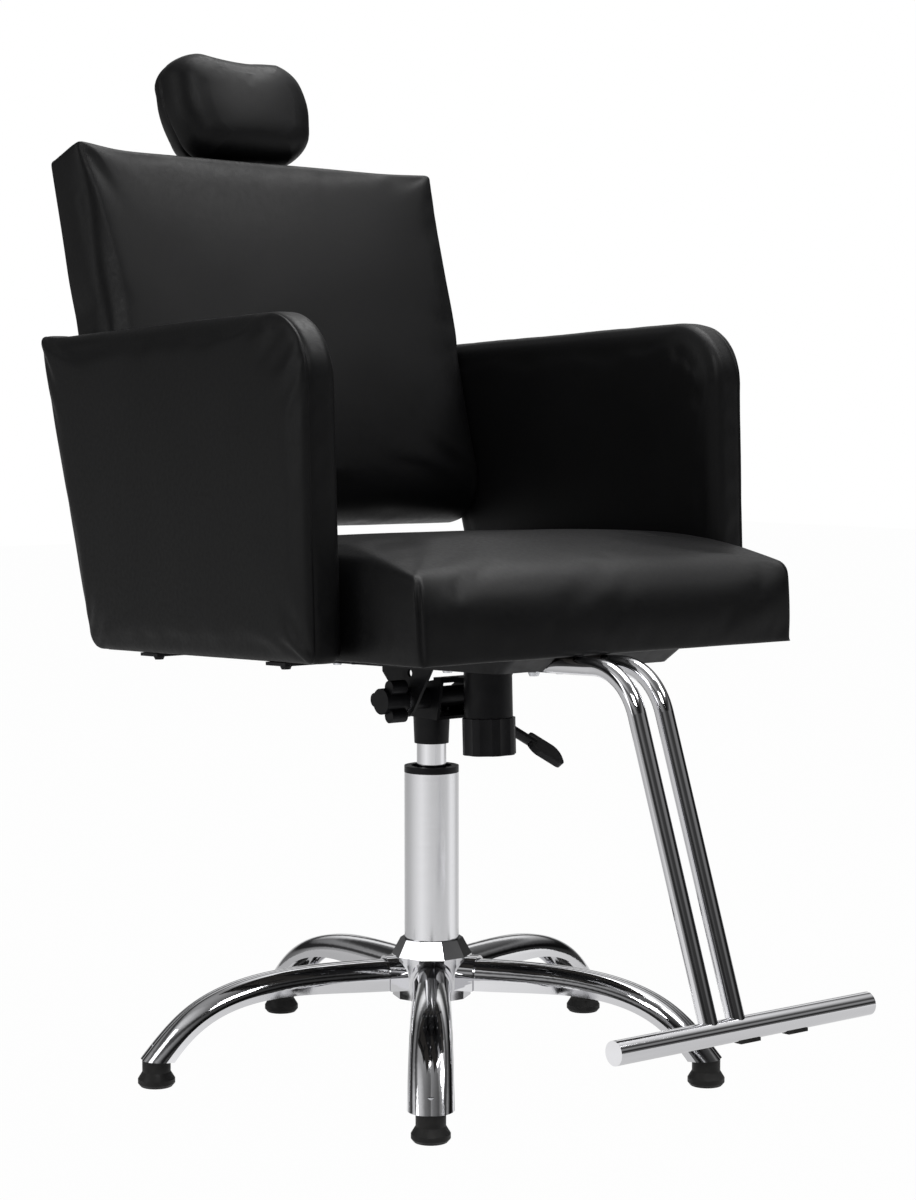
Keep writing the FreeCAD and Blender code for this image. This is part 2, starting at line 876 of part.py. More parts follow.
def tilt_bracket():
    plate_low = taper_top - bracket_plate
    socket = Part.makeCone(
        socket_low_radius, socket_top_radius, plate_low - taper_low, V(0, 0, taper_low)
    )
    plate = box(-bracket_half_width, bracket_half_width, -bracket_front, bracket_rear,
                plate_low, taper_top)
    inner = bracket_half_width - bracket_plate
    tube_end = bracket_half_width + pivot_reach
    tube = cylinder(pivot.sub(ACROSS * tube_end), pivot.add(ACROSS * tube_end), pivot_tube_radius)
    crosspiece = box(-bracket_half_width, bracket_half_width, -front_arm_root, -front_arm_heel,
                     front_arm_low, -front_arm_drop)
    tongue = box(-front_arm_half_width, front_arm_half_width,
                 -tension_front - front_arm_tip, -front_arm_heel,
                 front_arm_low, -front_arm_drop)
    pieces = [socket, plate, tube, on_seat(crosspiece), on_seat(tongue)]
    for side in (-1, 1):
        pieces.append(cheek(side * inner, side * bracket_half_width))
        lug_y = side * (lever_radius + lug_side_gap)
        low_y, high_y = sorted((lug_y, lug_y + side * lug_thickness))
        pieces.append(box(lever_pivot_x - lug_half_length, lever_pivot_x + lug_half_length,
                          low_y, high_y, taper_top, lever_z + lug_half_length))
    taper = Part.makeCone(
        cylinder_radius + running_gap, taper_radius + running_gap, taper_length,
        V(0, 0, taper_low),
    )
    pivot_bore = cylinder(pivot.sub(ACROSS * tube_end), pivot.add(ACROSS * tube_end),
                          pivot_pin_radius + running_gap)
    slot_half = tension_bolt_radius + seat_gap
    slot = box(-slot_half, slot_half,
               -tension_front - front_slot_ahead, -tension_front + front_slot_back,
               front_arm_low - overrun, overrun - front_arm_drop)
    window = lever_radius + lever_window_gap
    opening = box(inner, bracket_half_width + overrun,
                  -window, window, lever_z - window, lever_z + window)
    pin_bore = cylinder(V(lever_pivot_x, -bracket_half_width, lever_z),
                        V(lever_pivot_x, bracket_half_width, lever_z),
                        lever_pin_radius + running_gap)
    cuts = Part.makeCompound([taper, pivot_bore, on_seat(slot), opening, pin_bore])
    return fused(pieces).cut(cuts)


parts["tilt_bracket"] = tilt_bracket()
pin_reach = lever_radius + lug_side_gap + lug_thickness
parts["lever_pin"] = cylinder(
    V(lever_pivot_x, -pin_reach, lever_z), V(lever_pivot_x, pin_reach, lever_z), lever_pin_radius
)


# Lift lever: its inner end lies over the button of the gas spring
slope = math.radians(lever_drop)
lever_way = V(math.cos(slope), 0, -math.sin(slope))
lever_bend = V(lever_bend_x, 0, lever_z)
lever_end = lever_bend.add(lever_way * lever_rod_run)


def lift_lever():
    rod = bent_rod([V(-lever_tip_x, 0, lever_z), lever_bend, lever_end],
                   lever_bend_radius, lever_radius)
    bore = cylinder(V(lever_pivot_x, -overrun, lever_z), V(lever_pivot_x, overrun, lever_z),
                    lever_pin_radius + running_gap)
    return rod.cut(bore)


def lever_paddle():
    """Twisted flat paddle on a round neck, pushed over the end of the rod."""
    blade_start = paddle_length - paddle_blade_length
    blade = box(blade_start, paddle_length, -paddle_half_width, paddle_half_width,
                -paddle_thickness * HALF, paddle_thickness * HALF)
    upright = [edge for edge in blade.Edges if abs(edge.tangentAt(0).z) > HALF]
    blade = blade.makeFillet(paddle_half_width - paddle_round, upright)
    blade.rotate(ORIGIN, ACROSS, paddle_twist)
    neck = cylinder(ORIGIN, V(blade_start + paddle_neck_overlap, 0, 0), paddle_neck_radius)
    bore_depth = lever_rod_run - paddle_start + seat_gap
    bore = cylinder(V(-overrun, 0, 0), V(bore_depth, 0, 0), lever_radius + running_gap)
    paddle = blade.fuse(neck).cut(bore).removeSplitter()
    place = lever_bend.add(lever_way * paddle_start)
    paddle.Placement = FreeCAD.Placement(place, FreeCAD.Rotation(REARWARD, lever_drop))
    return paddle


parts["lift_lever"] = lift_lever()
parts["lever_paddle"] = lever_paddle()


# Tension spring with its bolt, housing and knob, on one axis under the front of the seat
tray_floor_top = tray_sheet - tray_depth
housing_low = -tray_depth - housing_length
knob_top = housing_low - seat_gap
knob_low = knob_top - knob_length
spring_top = front_arm_low - seat_gap
spring_low = knob_low + knob_floor + seat_gap


def on_tension_axis(height):
    return V(0, -tension_front, height)


def coil_spring():
    """One unbroken wire wound from top to bottom in half turns, each a pair of tangent arcs."""
    low = spring_low + spring_wire
    drop = spring_top - spring_wire - low
    pitch = drop / spring_turns
    slant = pitch / (2 * math.pi * spring_radius)
    points = []
    for k in range(2 * spring_turns + 1):
        angle = math.pi * k
        turn = V(math.cos(angle), math.sin(angle), 0)
        along = V(-math.sin(angle), math.cos(angle), slant).normalize()
        place = on_tension_axis(low + pitch * k * HALF).add(turn * spring_radius)
        points.append((place, along))
    edges = []
    for k in range(len(points) - 1):
        start, t0 = points[k]
        end, t1 = points[k + 1]
        chord = end.sub(start)
        both = t0.add(t1)
        spread = 2 * (1 - t0.dot(t1))
        ahead = chord.dot(both)
        reach = (math.sqrt(ahead * ahead + spread * chord.dot(chord)) - ahead) / spread
        first = start.add(t0 * reach)
        second = end.sub(t1 * reach)
        middle = first.add(second) * HALF
        edges.append(corner_arc(start, first, middle))
        edges.append(corner_arc(middle, second, end))
    print("tension spring: least gap between turns", round(pitch - 2 * spring_wire, 2))
    section = round_section(points[0][0], points[0][1], spring_wire)
    return Part.Wire(edges).makePipeShell([section], True, False)


def spring_housing():
    shell = ring(on_tension_axis(housing_low), on_tension_axis(-tray_depth),
                 housing_radius, housing_radius - housing_wall)
    slot_half = front_arm_half_width + housing_slot_gap
    slot = box(-slot_half, slot_half, -tension_front, housing_radius,
               housing_low - overrun, -tray_depth - housing_slot_drop)
    return shell.cut(slot)


def tension_knob():
    knob = fluted(knob_length, knob_radius, knob_flutes, knob_flute_radius, knob_flute_depth)
    knob.translate(on_tension_axis(knob_low))
    cavity = cylinder(on_tension_axis(knob_low + knob_floor), on_tension_axis(knob_top),
                      knob_radius - knob_wall)
    bore = cylinder(on_tension_axis(knob_low), on_tension_axis(knob_top),
                    tension_bolt_radius + running_gap)
    return knob.cut(cavity).cut(bore)


parts["tension_spring"] = on_seat(coil_spring())
parts["spring_housing"] = on_seat(spring_housing())
parts["tension_knob"] = on_seat(tension_knob())
parts["tension_bolt"] = on_seat(
    hex_head(on_tension_axis(tray_floor_top), UP, tension_hex_flats, tension_hex_height).fuse(
        cylinder(on_tension_axis(knob_low + seat_gap), on_tension_axis(tray_floor_top),
                 tension_bolt_radius)
    ).removeSplitter()
)


# Tray under the seat, with slots for the footrest tubes and bosses for its screws
tube_x = (tube_pair_x - tube_spacing * HALF, tube_pair_x + tube_spacing * HALF)
tray_screw_points = []
for screw_x in (-tray_screw_x, tray_screw_x):
    for screw_y in (-tray_screw_front, tray_screw_rear):
        tray_screw_points.append(V(screw_x, screw_y, -tray_depth))


def tray_block(inset, low, high):
    """Flared pan between two heights, drawn in by a wall."""
    wires = []
    for height in (low, high):
        grown = (height + tray_depth) / tray_depth
        half = tray_half_width + grown * tray_side_flare - inset
        front = -tray_front - grown * tray_front_flare + inset
        rear = tray_rear + grown * tray_rear_flare - inset
        corners = [V(-half, front, height), V(half, front, height),
                   V(half, rear, height), V(-half, rear, height)]
        wires.append(rounded_wire(corners, [tray_corner] * len(corners)))
    return Part.makeLoft(wires, True, True)


def seat_tray():
    pan = tray_block(0, -tray_depth, -seat_gap).cut(tray_block(tray_sheet, tray_floor_top, 0))
    bosses = []
    cuts = []
    for point in tray_screw_points:
        bosses.append(cylinder(point, V(point.x, point.y, -seat_gap), boss_radius))
        cuts.append(screw_hole(point, UP, tray_depth))
    for x in tube_x:
        half = tube_radius + tray_slot_gap
        cuts.append(box(x - half, x + half, -tray_front - tray_front_flare - overrun,
                        tube_radius * HALF - tube_rear, -tray_depth - overrun, overrun))
    cuts.append(cylinder(on_tension_axis(-tray_depth), on_tension_axis(0),
                         tension_bolt_radius + running_gap))
    return fused([pan] + bosses).cut(Part.makeCompound(cuts))


def ear(x0, x1):
    """Plate that hangs from the tray, wraps round the pivot and runs on behind it."""
    top = -tray_depth
    away = V(0, -ear_front - pivot_seat.y, top - pivot_seat.z)
    bearing = math.atan2(away.z, away.y) + math.acos(ear_radius / away.Length)
    outline = [
        (-ear_front, top),
        (pivot_seat.y + ear_radius * math.cos(bearing), pivot_seat.z + ear_radius * math.sin(bearing)),
        (pivot_seat.y, top - ear_waist_depth),
        (ear_rear - ear_rear_slant, top - ear_rear_depth),
        (ear_rear, top - ear_rear_drop),
        (ear_rear, top),
    ]
    across = V(x1 - x0, 0, 0)
    web = prism([V(x0, y, z) for y, z in outline], across)
    centre = V(x0, pivot_seat.y, pivot_seat.z)
    eye = cylinder(centre, centre.add(across), ear_radius)
    bore = cylinder(centre, centre.add(across), pivot_pin_radius + running_gap)
    hole = V(x0, -ear_hole_front, top - ear_hole_drop)
    lightening = cylinder(hole, hole.add(across), ear_hole_radius)
    return web.fuse(eye).cut(bore).cut(lightening).removeSplitter()


parts["seat_tray"] = on_seat(seat_tray())
parts["tilt_ears"] = on_seat(Part.makeCompound([
    ear(ear_inner, ear_outer), ear(-ear_inner, -ear_outer)
]))
washer_face = ear_outer + washer_thickness
wing_face = washer_face + seat_gap
bolt_end = wing_face + wing_bolt_reach


def along_pivot(x):
    return pivot.add(ACROSS * x)


parts["pivot_bolt"] = fused([
    cylinder(along_pivot(-bolt_end), along_pivot(ear_outer), pivot_pin_radius),
    hex_head(along_pivot(ear_outer), ACROSS, pivot_hex_flats, pivot_hex_height),
])
parts["pivot_washer"] = ring(along_pivot(-washer_face), along_pivot(-ear_outer),
                             washer_radius, pivot_pin_radius + running_gap)


def wing_knob():
    knob = [cylinder(along_pivot(-wing_face), along_pivot(-wing_face - wing_length),
                     wing_hub_radius)]
    start = wing_face + wing_lobe_start
    for k in range(wing_count):
        angle = 2 * math.pi * k / wing_count
        out = V(0, math.cos(angle), math.sin(angle))
        side = V(0, -math.sin(angle), math.cos(angle)) * (wing_lobe_radius * HALF)
        lobe = out * wing_lobe_reach
        inner = along_pivot(-start)
        knob.append(cylinder(inner.add(lobe), inner.add(lobe).sub(ACROSS * wing_lobe_length),
                             wing_lobe_radius))
        knob.append(prism([inner.sub(side), inner.add(lobe).sub(side),
                           inner.add(lobe).add(side), inner.add(side)],
                          ACROSS * -wing_lobe_length))
    bore = cylinder(along_pivot(-wing_face), along_pivot(-bolt_end - seat_gap),
                    pivot_pin_radius + running_gap)
    return fused(knob).cut(bore)


parts["wing_knob"] = wing_knob()


# Seat board and cushion
board_half = seat_half_width - seat_board_inset
board_front = seat_board_inset - seat_front
board_rear = seat_rear - seat_board_inset
seat_screws = []
seat_board_holes = []
for point in tray_screw_points:
    seat_screws.append(screw(point, UP, tray_depth + screw_bite))
    seat_board_holes.append(screw_hole(V(point.x, point.y, 0), UP, screw_bite))
parts["tray_screws"] = on_seat(Part.makeCompound(seat_screws))

bar_top = -seat_gap
bar_low = bar_top - bar_thickness
bar_seat_screw_shapes = []
for x in (-bar_screw_x, bar_screw_x):
    for y in bar_seat_screws:
        bar_seat_screw_shapes.append(screw(V(x, y, bar_low), UP, bar_thickness + screw_bite))
        seat_board_holes.append(screw_hole(V(x, y, 0), UP, screw_bite))

tube_height = -tube_radius - seat_gap
tube_screw_shapes = []
tube_screw_holes = []
for x in tube_x:
    head = V(x, -tube_screw, tube_height - tube_radius)
    depth = 2 * tube_radius + screw_bite
    tube_screw_shapes.append(screw(head, UP, depth))
    tube_screw_holes.append(screw_hole(head.sub(UP * overrun), UP, overrun + depth))
    seat_board_holes.append(screw_hole(V(x, -tube_screw, 0), UP, screw_bite))
parts["tube_screws"] = on_seat(Part.makeCompound(tube_screw_shapes))

arm_inner = seat_half_width + arm_gap
arm_outer = arm_inner + arm_thickness
arm_middle = (arm_inner + arm_outer) * HALF
strap_inner = arm_inner - strap_inner_overlap - strap_outer_overlap
strap_outer = arm_outer - strap_outer_overlap
strap_top = -seat_gap
strap_low = strap_top - strap_thickness
straps = []
strap_screws = []
core_holes = []
for side in (-1, 1):
    for y in strap_places:
        low_x, high_x = sorted((side * strap_inner, side * strap_outer))
        strap = box(low_x, high_x, y - strap_half_width, y + strap_half_width,
                    strap_low, strap_top)
        places = (side * (strap_inner + strap_screw_inset), side * arm_middle)
        for x in places:
            point = V(x, y, strap_low)
            strap = strap.cut(screw_hole(point, UP, strap_thickness))
            strap_screws.append(screw(point, UP, strap_thickness + screw_bite))
        seat_board_holes.append(screw_hole(V(places[0], y, 0), UP, screw_bite))
        core_holes.append(screw_hole(V(places[1], y, 0), UP, screw_bite))
        straps.append(strap)
parts["arm_straps"] = on_seat(Part.makeCompound(straps))
parts["arm_strap_screws"] = on_seat(Part.makeCompound(strap_screws))

board = rounded_plate(-board_half, board_half, board_front, board_rear,
                      0, seat_board_thickness, seat_board_corner)
parts["seat_board"] = on_seat(board.cut(Part.makeCompound(seat_board_holes)))


def seat_cushion():
    pad = cushion(seat_half_width, -seat_front, seat_front + seat_rear,
                  seat_edge_height, seat_crown, seat_edge_round, seat_station_shares)
    pocket = rounded_plate(-board_half - seat_gap, board_half + seat_gap,
                           board_front - seat_gap, board_rear + seat_gap,
                           -overrun, seat_board_thickness + seat_gap, seat_board_corner)
    return pad.cut(pocket)


parts["seat_cushion"] = on_seat(seat_cushion())


# Arms: upholstered panels over a plywood core that stands on two steel straps
arm_outline = [
    (-arm_front, 0),
    (arm_rear_low, 0),
    (arm_rear_top, arm_height),
    (-arm_front, arm_height),
]
arm_rounds = [arm_toe_round, arm_heel_round, arm_ear_round, arm_front_round]


def arm_wire(x, inset):
    corners = [V(x, u, w) for u, w in drawn_in(arm_outline, inset)]
    return rounded_wire(corners, arm_rounds)


def arm_core(low, grow):
    """Plywood panel inside an arm, standing on the straps."""
    corners = drawn_in(arm_outline, arm_core_inset - grow)
    for k in (0, 1):
        corners[k] = (corners[k][0], low)
    half = arm_core_thickness * HALF + grow
    return prism([V(arm_middle - half, u, w) for u, w in corners], V(2 * half, 0, 0))


def arm_pad():
    near = [(arm_inner + place * arm_edge_round, inset) for place, inset in arm_edge_shares]
    far = [(arm_outer - place * arm_edge_round, inset) for place, inset in arm_edge_shares]
    stations = near + [(arm_middle, arm_waist_share)] + far[::-1]
    wires = [arm_wire(x, inset * arm_edge_round) for x, inset in stations]
    return Part.makeLoft(wires, True, True).cut(arm_core(-overrun, seat_gap))


one_pad = arm_pad()
one_core = arm_core(0, 0)
core_cuts = Part.makeCompound(core_holes)
parts["arm_pad_right"] = on_seat(one_pad.mirror(ORIGIN, ACROSS))
parts["arm_pad_left"] = on_seat(one_pad)
parts["arm_core_right"] = on_seat(one_core.mirror(ORIGIN, ACROSS).cut(core_cuts))
parts["arm_core_left"] = on_seat(one_core.cut(core_cuts))


# Backrest: cushion over a board, carried by a flat bar bent up from under the seat
board_back = back_thickness + seat_gap
bar_face = board_back + seat_gap
bar_rear = bar_face + bar_thickness
sleeve_low = back_length - sleeve_below_top
sleeve_high = sleeve_low + sleeve_length
post_low = sleeve_high - post_engagement
bar_climb = post_low - bar_post_gap
bar_back_screws = (bar_foot_screw, bar_climb - bar_top_screw_inset)
back_board_holes = []


def back_bar():
    middle_z = bar_low + bar_thickness * HALF
    middle_n = bar_face + bar_thickness * HALF
    foot_point = seat_from_back(V(0, middle_n, 0))
    end = seat_from_back(V(0, middle_n, bar_climb))
    climb = end.sub(foot_point)
    corner = foot_point.add(climb * ((middle_z - foot_point.z) / climb.z))
    start = V(0, bar_front, middle_z)
    section = Part.makePolygon([
        V(-bar_half_width, bar_front, bar_low), V(bar_half_width, bar_front, bar_low),
        V(bar_half_width, bar_front, bar_top), V(-bar_half_width, bar_front, bar_top),
        V(-bar_half_width, bar_front, bar_low),
    ])
    bar = bent_path([start, corner, end], bar_bend_radius).makePipeShell([section], True, False)
    return bar


bar_back_screw_shapes = []
bar_back_holes = []
for x in (-bar_screw_x, bar_screw_x):
    for t in bar_back_screws:
        point = V(x, bar_rear, t)
        depth = bar_thickness + seat_gap + screw_bite
        bar_back_screw_shapes.append(screw(point, FORWARD, depth))
        bar_back_holes.append(screw_hole(point, FORWARD, depth))
back_board_holes.extend(bar_back_holes)
bar_seat_holes = []
for x in (-bar_screw_x, bar_screw_x):
    for y in bar_seat_screws:
        bar_seat_holes.append(screw_hole(V(x, y, bar_low), UP, bar_thickness))
bar_shape = on_seat(back_bar().cut(Part.makeCompound(bar_seat_holes)))
parts["back_bar"] = bar_shape.cut(on_back(Part.makeCompound(bar_back_holes)))
parts["back_bar_screws"] = Part.makeCompound([
    on_seat(Part.makeCompound(bar_seat_screw_shapes)),
    on_back(Part.makeCompound(bar_back_screw_shapes)),
])


# Sleeve on the back board, in which the post of the headrest slides
post_face = bar_face + sleeve_wall + sleeve_gap
post_rear = post_face + post_thickness
sleeve_rear = post_rear + sleeve_gap + sleeve_wall
sleeve_half = post_half_width + sleeve_gap + sleeve_wall
sleeve_screw_x = sleeve_half + sleeve_flange * HALF
clamp_t = (sleeve_low + sleeve_high) * HALF
sleeve_screw_shapes = []
sleeve_holes = []
for x in (-sleeve_screw_x, sleeve_screw_x):
    for t in (sleeve_low + sleeve_screw_inset, sleeve_high - sleeve_screw_inset):
        point = V(x, bar_face + sleeve_flange_thickness, t)
        depth = sleeve_flange_thickness + seat_gap + screw_bite
        sleeve_screw_shapes.append(screw(point, FORWARD, depth))
        sleeve_holes.append(screw_hole(point, FORWARD, depth))
back_board_holes.extend(sleeve_holes)


def headrest_sleeve():
    body = box(-sleeve_half, sleeve_half, bar_face, sleeve_rear, sleeve_low, sleeve_high)
    flange_reach = sleeve_half + sleeve_flange
    flange = box(-flange_reach, flange_reach, bar_face, bar_face + sleeve_flange_thickness,
                 sleeve_low, sleeve_high)
    slot_half = post_half_width + sleeve_gap
    slot = box(-slot_half, slot_half, post_face - sleeve_gap, post_rear + sleeve_gap,
               sleeve_low - overrun, sleeve_high + overrun)
    bore = cylinder(V(0, post_rear, clamp_t), V(0, sleeve_rear + overrun, clamp_t),
                    clamp_stud_radius + running_gap)
    cuts = Part.makeCompound([slot, bore] + sleeve_holes)
    return fused([body, flange]).cut(cuts)


def headrest_knob():
    grip = fluted(clamp_knob_length, clamp_knob_radius, clamp_flutes,
                  clamp_flute_radius, clamp_flute_depth)
    grip.Placement = FreeCAD.Placement(
        V(0, sleeve_rear + seat_gap, clamp_t), FreeCAD.Rotation(UP, REARWARD)
    )
    stud = cylinder(V(0, post_rear + seat_gap, clamp_t),
                    V(0, sleeve_rear + seat_gap, clamp_t), clamp_stud_radius)
    return fused([grip, stud])


parts["headrest_sleeve"] = on_back(headrest_sleeve())
parts["sleeve_screws"] = on_back(Part.makeCompound(sleeve_screw_shapes))
parts["headrest_knob"] = on_back(headrest_knob())


# Cushion and board of the backrest, which stand between the arms
back_half_width = arm_inner - back_side_gap


def back_cushion():
    pad = cushion(back_half_width, 0, back_length, back_thickness,
                  back_crown, back_edge_round, back_station_shares)
    pad.Placement = FreeCAD.Placement(V(0, back_thickness, 0), FreeCAD.Rotation(ACROSS, 90))
    half = back_half_width - back_board_inset + seat_gap
    pocket = box(-half, half, board_back - back_board_thickness - seat_gap,
                 back_thickness + overrun, back_board_inset - seat_gap,
                 back_length - back_board_inset + seat_gap)
    return pad.cut(pocket)


def back_board():
    half = back_half_width - back_board_inset
    panel = box(-half, half, board_back - back_board_thickness, board_back,
                back_board_inset, back_length - back_board_inset)
    corners = [edge for edge in panel.Edges if abs(edge.tangentAt(0).y) > HALF]
    return panel.makeFillet(back_board_corner, corners).cut(Part.makeCompound(back_board_holes))


parts["back_cushion"] = on_back(back_cushion())
parts["back_board"] = on_back(back_board())


# Headrest: kidney-shaped pillow on a board, fixed to the sliding post
head_low = back_length + head_clear
head_rear = post_face - 2 * seat_gap
head_board_rear = head_rear + seat_gap
head_board_low = head_low + head_board_margin
head_board_high = head_low + head_height - head_board_margin
post_high = head_board_high - post_top_inset


def head_wire(place, size):
    """Outline of the pillow at one depth, drawn about its middle."""
    n = head_rear - head_depth * (1 - place)

    def at(x, h):
        return V(x * size * head_width, n, head_low + (HALF + (h - HALF) * size) * head_height)

    edges = []
    count = len(head_outline_shares)
    for k in range(count):
        x0, h0, xm, hm = head_outline_shares[k]
        x1, h1 = head_outline_shares[(k + 1) % count][:2]
        edges.append(Part.Arc(at(x0, h0), at(xm, hm), at(x1, h1)).toShape())
    return Part.Wire(edges)


def head_board(grow):
    half = head_board_half_width + grow
    return box(-half, half, head_board_rear - head_board_thickness - grow, head_board_rear,
               head_board_low - grow, head_board_high + grow)


post_screw_shapes = []
post_holes = []
for t in (head_board_low + post_screw_inset, post_high - post_screw_inset):
    point = V(0, post_rear, t)
    depth = post_thickness + seat_gap + post_screw_bite
    post_screw_shapes.append(screw(point, FORWARD, depth))
    post_holes.append(screw_hole(point, FORWARD, depth))
post_cuts = Part.makeCompound(post_holes)
pillow = Part.makeLoft([head_wire(*station) for station in head_station_shares], True, True)
parts["headrest_cushion"] = on_back(pillow.cut(head_board(seat_gap)))
parts["headrest_board"] = on_back(head_board(0).cut(post_cuts))
parts["headrest_post"] = on_back(
    box(-post_half_width, post_half_width, post_face, post_rear, post_low, post_high).cut(post_cuts)
)
parts["post_screws"] = on_back(Part.makeCompound(post_screw_shapes))


# Footrest: two bent tubes down to a cross bar
lean = math.radians(tube_lean)
tube_end_y = -tube_corner - tube_drop * math.sin(lean)
tube_end_z = tube_height - tube_drop * math.cos(lean)


def bar_point(x):
    return V(x, tube_end_y, tube_end_z)


def foot_tube(x):
    path = [V(x, -tube_rear, tube_height), V(x, -tube_corner, tube_height), bar_point(x)]
    outer = bent_rod(path, tube_bend_radius, tube_radius)
    inner = bent_rod(path, tube_bend_radius, tube_radius - tube_wall)
    saddle = cylinder(bar_point(-footbar_half_length), bar_point(footbar_half_length),
                      footbar_radius)
    return outer.cut(inner).cut(saddle).cut(Part.makeCompound(tube_screw_holes))


parts["foot_tube_right"] = on_seat(foot_tube(tube_x[0]))
parts["foot_tube_left"] = on_seat(foot_tube(tube_x[1]))
parts["footrest_bar"] = on_seat(ring(
    bar_point(-footbar_half_length), bar_point(footbar_half_length),
    footbar_radius, footbar_radius - footbar_wall,
))


def bar_cap(side):
    end = bar_point(side * footbar_half_length)
    disc = cylinder(end, end.add(ACROSS * (side * cap_thickness)), footbar_radius)
    plug = cylinder(end, end.sub(ACROSS * (side * cap_plug)),
                    footbar_radius - footbar_wall - running_gap)
    return disc.fuse(plug).removeSplitter()


def bumper(x):
    """Thin rubber strip under the bar, hollowed to fit it."""
    half = bumper_length * HALF
    low = tube_end_z - footbar_radius - bumper_height
    strip = box(x - half, x + half, tube_end_y - bumper_half_width,
                tube_end_y + bumper_half_width, low, tube_end_z)
    return strip.cut(cylinder(bar_point(x - half - overrun), bar_point(x + half + overrun),
                              footbar_radius))


parts["bar_end_caps"] = on_seat(Part.makeCompound([bar_cap(-1), bar_cap(1)]))
parts["bar_bumpers"] = on_seat(Part.makeCompound([
    bumper(bumper_middle - bumper_spacing * HALF), bumper(bumper_middle + bumper_spacing * HALF)
]))


os.makedirs("parts", exist_ok=True)
for name, shape in parts.items():
    shape.exportStep("parts/%s.step" % name)
print(len(parts), "nodes")
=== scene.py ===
# %% [markdown]
# # A threading chair, dressed and lit
# The chair stands on five chromed legs. A gas column carries a tilting seat with a backrest,
# two upholstered arms, a headrest on a sliding post and a tubular footrest. The metal and the
# plastic pieces arrive finished in shape from the construction model. This lesson gives every
# one of them a surface, and sews new vinyl covers over the five foam pieces.

# %% Load the construction model
import json
import math
import bmesh
import bpy
from mathutils import Matrix, Vector, noise


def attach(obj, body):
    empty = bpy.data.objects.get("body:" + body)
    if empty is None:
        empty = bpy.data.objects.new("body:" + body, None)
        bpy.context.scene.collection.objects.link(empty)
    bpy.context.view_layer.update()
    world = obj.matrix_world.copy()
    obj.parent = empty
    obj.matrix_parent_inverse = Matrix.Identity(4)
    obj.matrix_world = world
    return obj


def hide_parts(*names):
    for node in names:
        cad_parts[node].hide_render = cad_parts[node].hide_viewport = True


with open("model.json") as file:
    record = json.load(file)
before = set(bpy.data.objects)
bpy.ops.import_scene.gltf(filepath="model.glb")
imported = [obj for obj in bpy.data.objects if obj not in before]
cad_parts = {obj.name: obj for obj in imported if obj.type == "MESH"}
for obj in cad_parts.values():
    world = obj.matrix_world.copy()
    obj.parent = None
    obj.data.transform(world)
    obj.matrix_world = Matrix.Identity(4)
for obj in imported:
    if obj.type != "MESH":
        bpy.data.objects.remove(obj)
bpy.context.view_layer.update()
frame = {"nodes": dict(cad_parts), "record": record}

print("pieces in the construction model:", len(frame["nodes"]))

# %% [markdown]
# The upholstery leans with the seat, and the backrest leans further. Measuring in millimetres
# from the seat's own underside, and from the foot of the backrest, keeps each number the one
# that an upholsterer would read off a tape. Two matrices turn those places into metres here.

# %% Two tilted work spaces, in millimetres
MM = 0.001
SEAT_HEIGHT = 0.400
SEAT_TILT = math.radians(2)
BACK_FOOT = (0, 178.2, 121.7)
BACK_LEAN = math.radians(14)

seat_space = (
    Matrix.Translation((0, 0, SEAT_HEIGHT))
    @ Matrix.Rotation(-SEAT_TILT, 4, "X")
    @ Matrix.Scale(MM, 4)
)
back_space = seat_space @ Matrix.Translation(BACK_FOOT) @ Matrix.Rotation(-BACK_LEAN, 4, "X")
print("foot of the backrest:", [round(c, 3) for c in back_space.translation])

# %% [markdown]
# The camera comes first, so that every later choice is judged through it. It stands in front
# of the chair and to the sitter's right, a little above the seat, and looks down by four
# degrees. A long lens from 2.4 metres keeps the arms and the backrest almost parallel.

# %% The camera
lens = bpy.data.cameras.new("portrait_lens")
lens.lens = 77.08
lens.sensor_width = 36
camera = bpy.data.objects.new("portrait_camera", lens)
camera.location = (-1.43953, -1.92285, 0.6123)
camera.rotation_euler = (math.radians(85.903), 0, math.radians(-37.414))
bpy.context.scene.collection.objects.link(camera)
bpy.context.scene.camera = camera
print("camera at", [round(c, 2) for c in camera.location])

# %% [markdown]
# ## The room
# A chair for a catalogue is shown on a pale sweep of paper. The floor here is one broad sheet,
# a hair below the glides. It could be a curved backdrop, but a floor that meets a white world
# needs no bend.

# %% The floor
FLOOR_REACH = 9.0
FLOOR_DROP = 0.0004

floor_mesh = bpy.data.meshes.new("paper_floor")
floor_mesh.from_pydata(
    [(x * FLOOR_REACH, y * FLOOR_REACH, -FLOOR_DROP)
     for x, y in ((-1, -1), (1, -1), (1, 1), (-1, 1))],
    [], [(0, 1, 2, 3)])
floor = bpy.data.objects.new("paper_floor", floor_mesh)
bpy.context.scene.collection.objects.link(floor)
print("floor:", 2 * FLOOR_REACH, "metres square")

# %% [markdown]
# The paper is matt and grey, so that little light bounces up under the seat. Its white is added
# by kind of ray. The camera sees nearly white, with the chair's shadow still in it. Mirrored
# rays see bands of painted light and shade that go round the chair. The paper glows with them,
# standing in for the floor of a real studio, which is lit more brightly on some sides than on
# others, and the chrome shows that. Painting the bands into the paper's colour would be simpler,
# but then the camera would see them too.

# %% The paper
FLOOR_WHITE_SHARE = 0.985
# Place round the chair, from -X through the front at -Y, and how bright the painted light on the
# floor is there
FLOOR_PAINTED_LIGHT_BANDS = ((0.0, 0.88), (0.03, 0.96), (0.144, 0.66), (0.276, 0.52), (0.34, 0.58),
               (0.39, 0.98), (0.45, 0.85), (0.50, 0.44), (0.56, 0.60), (0.67, 0.85),
               (0.75, 0.40), (0.80, 0.38), (0.87, 0.46), (1.0, 0.88))


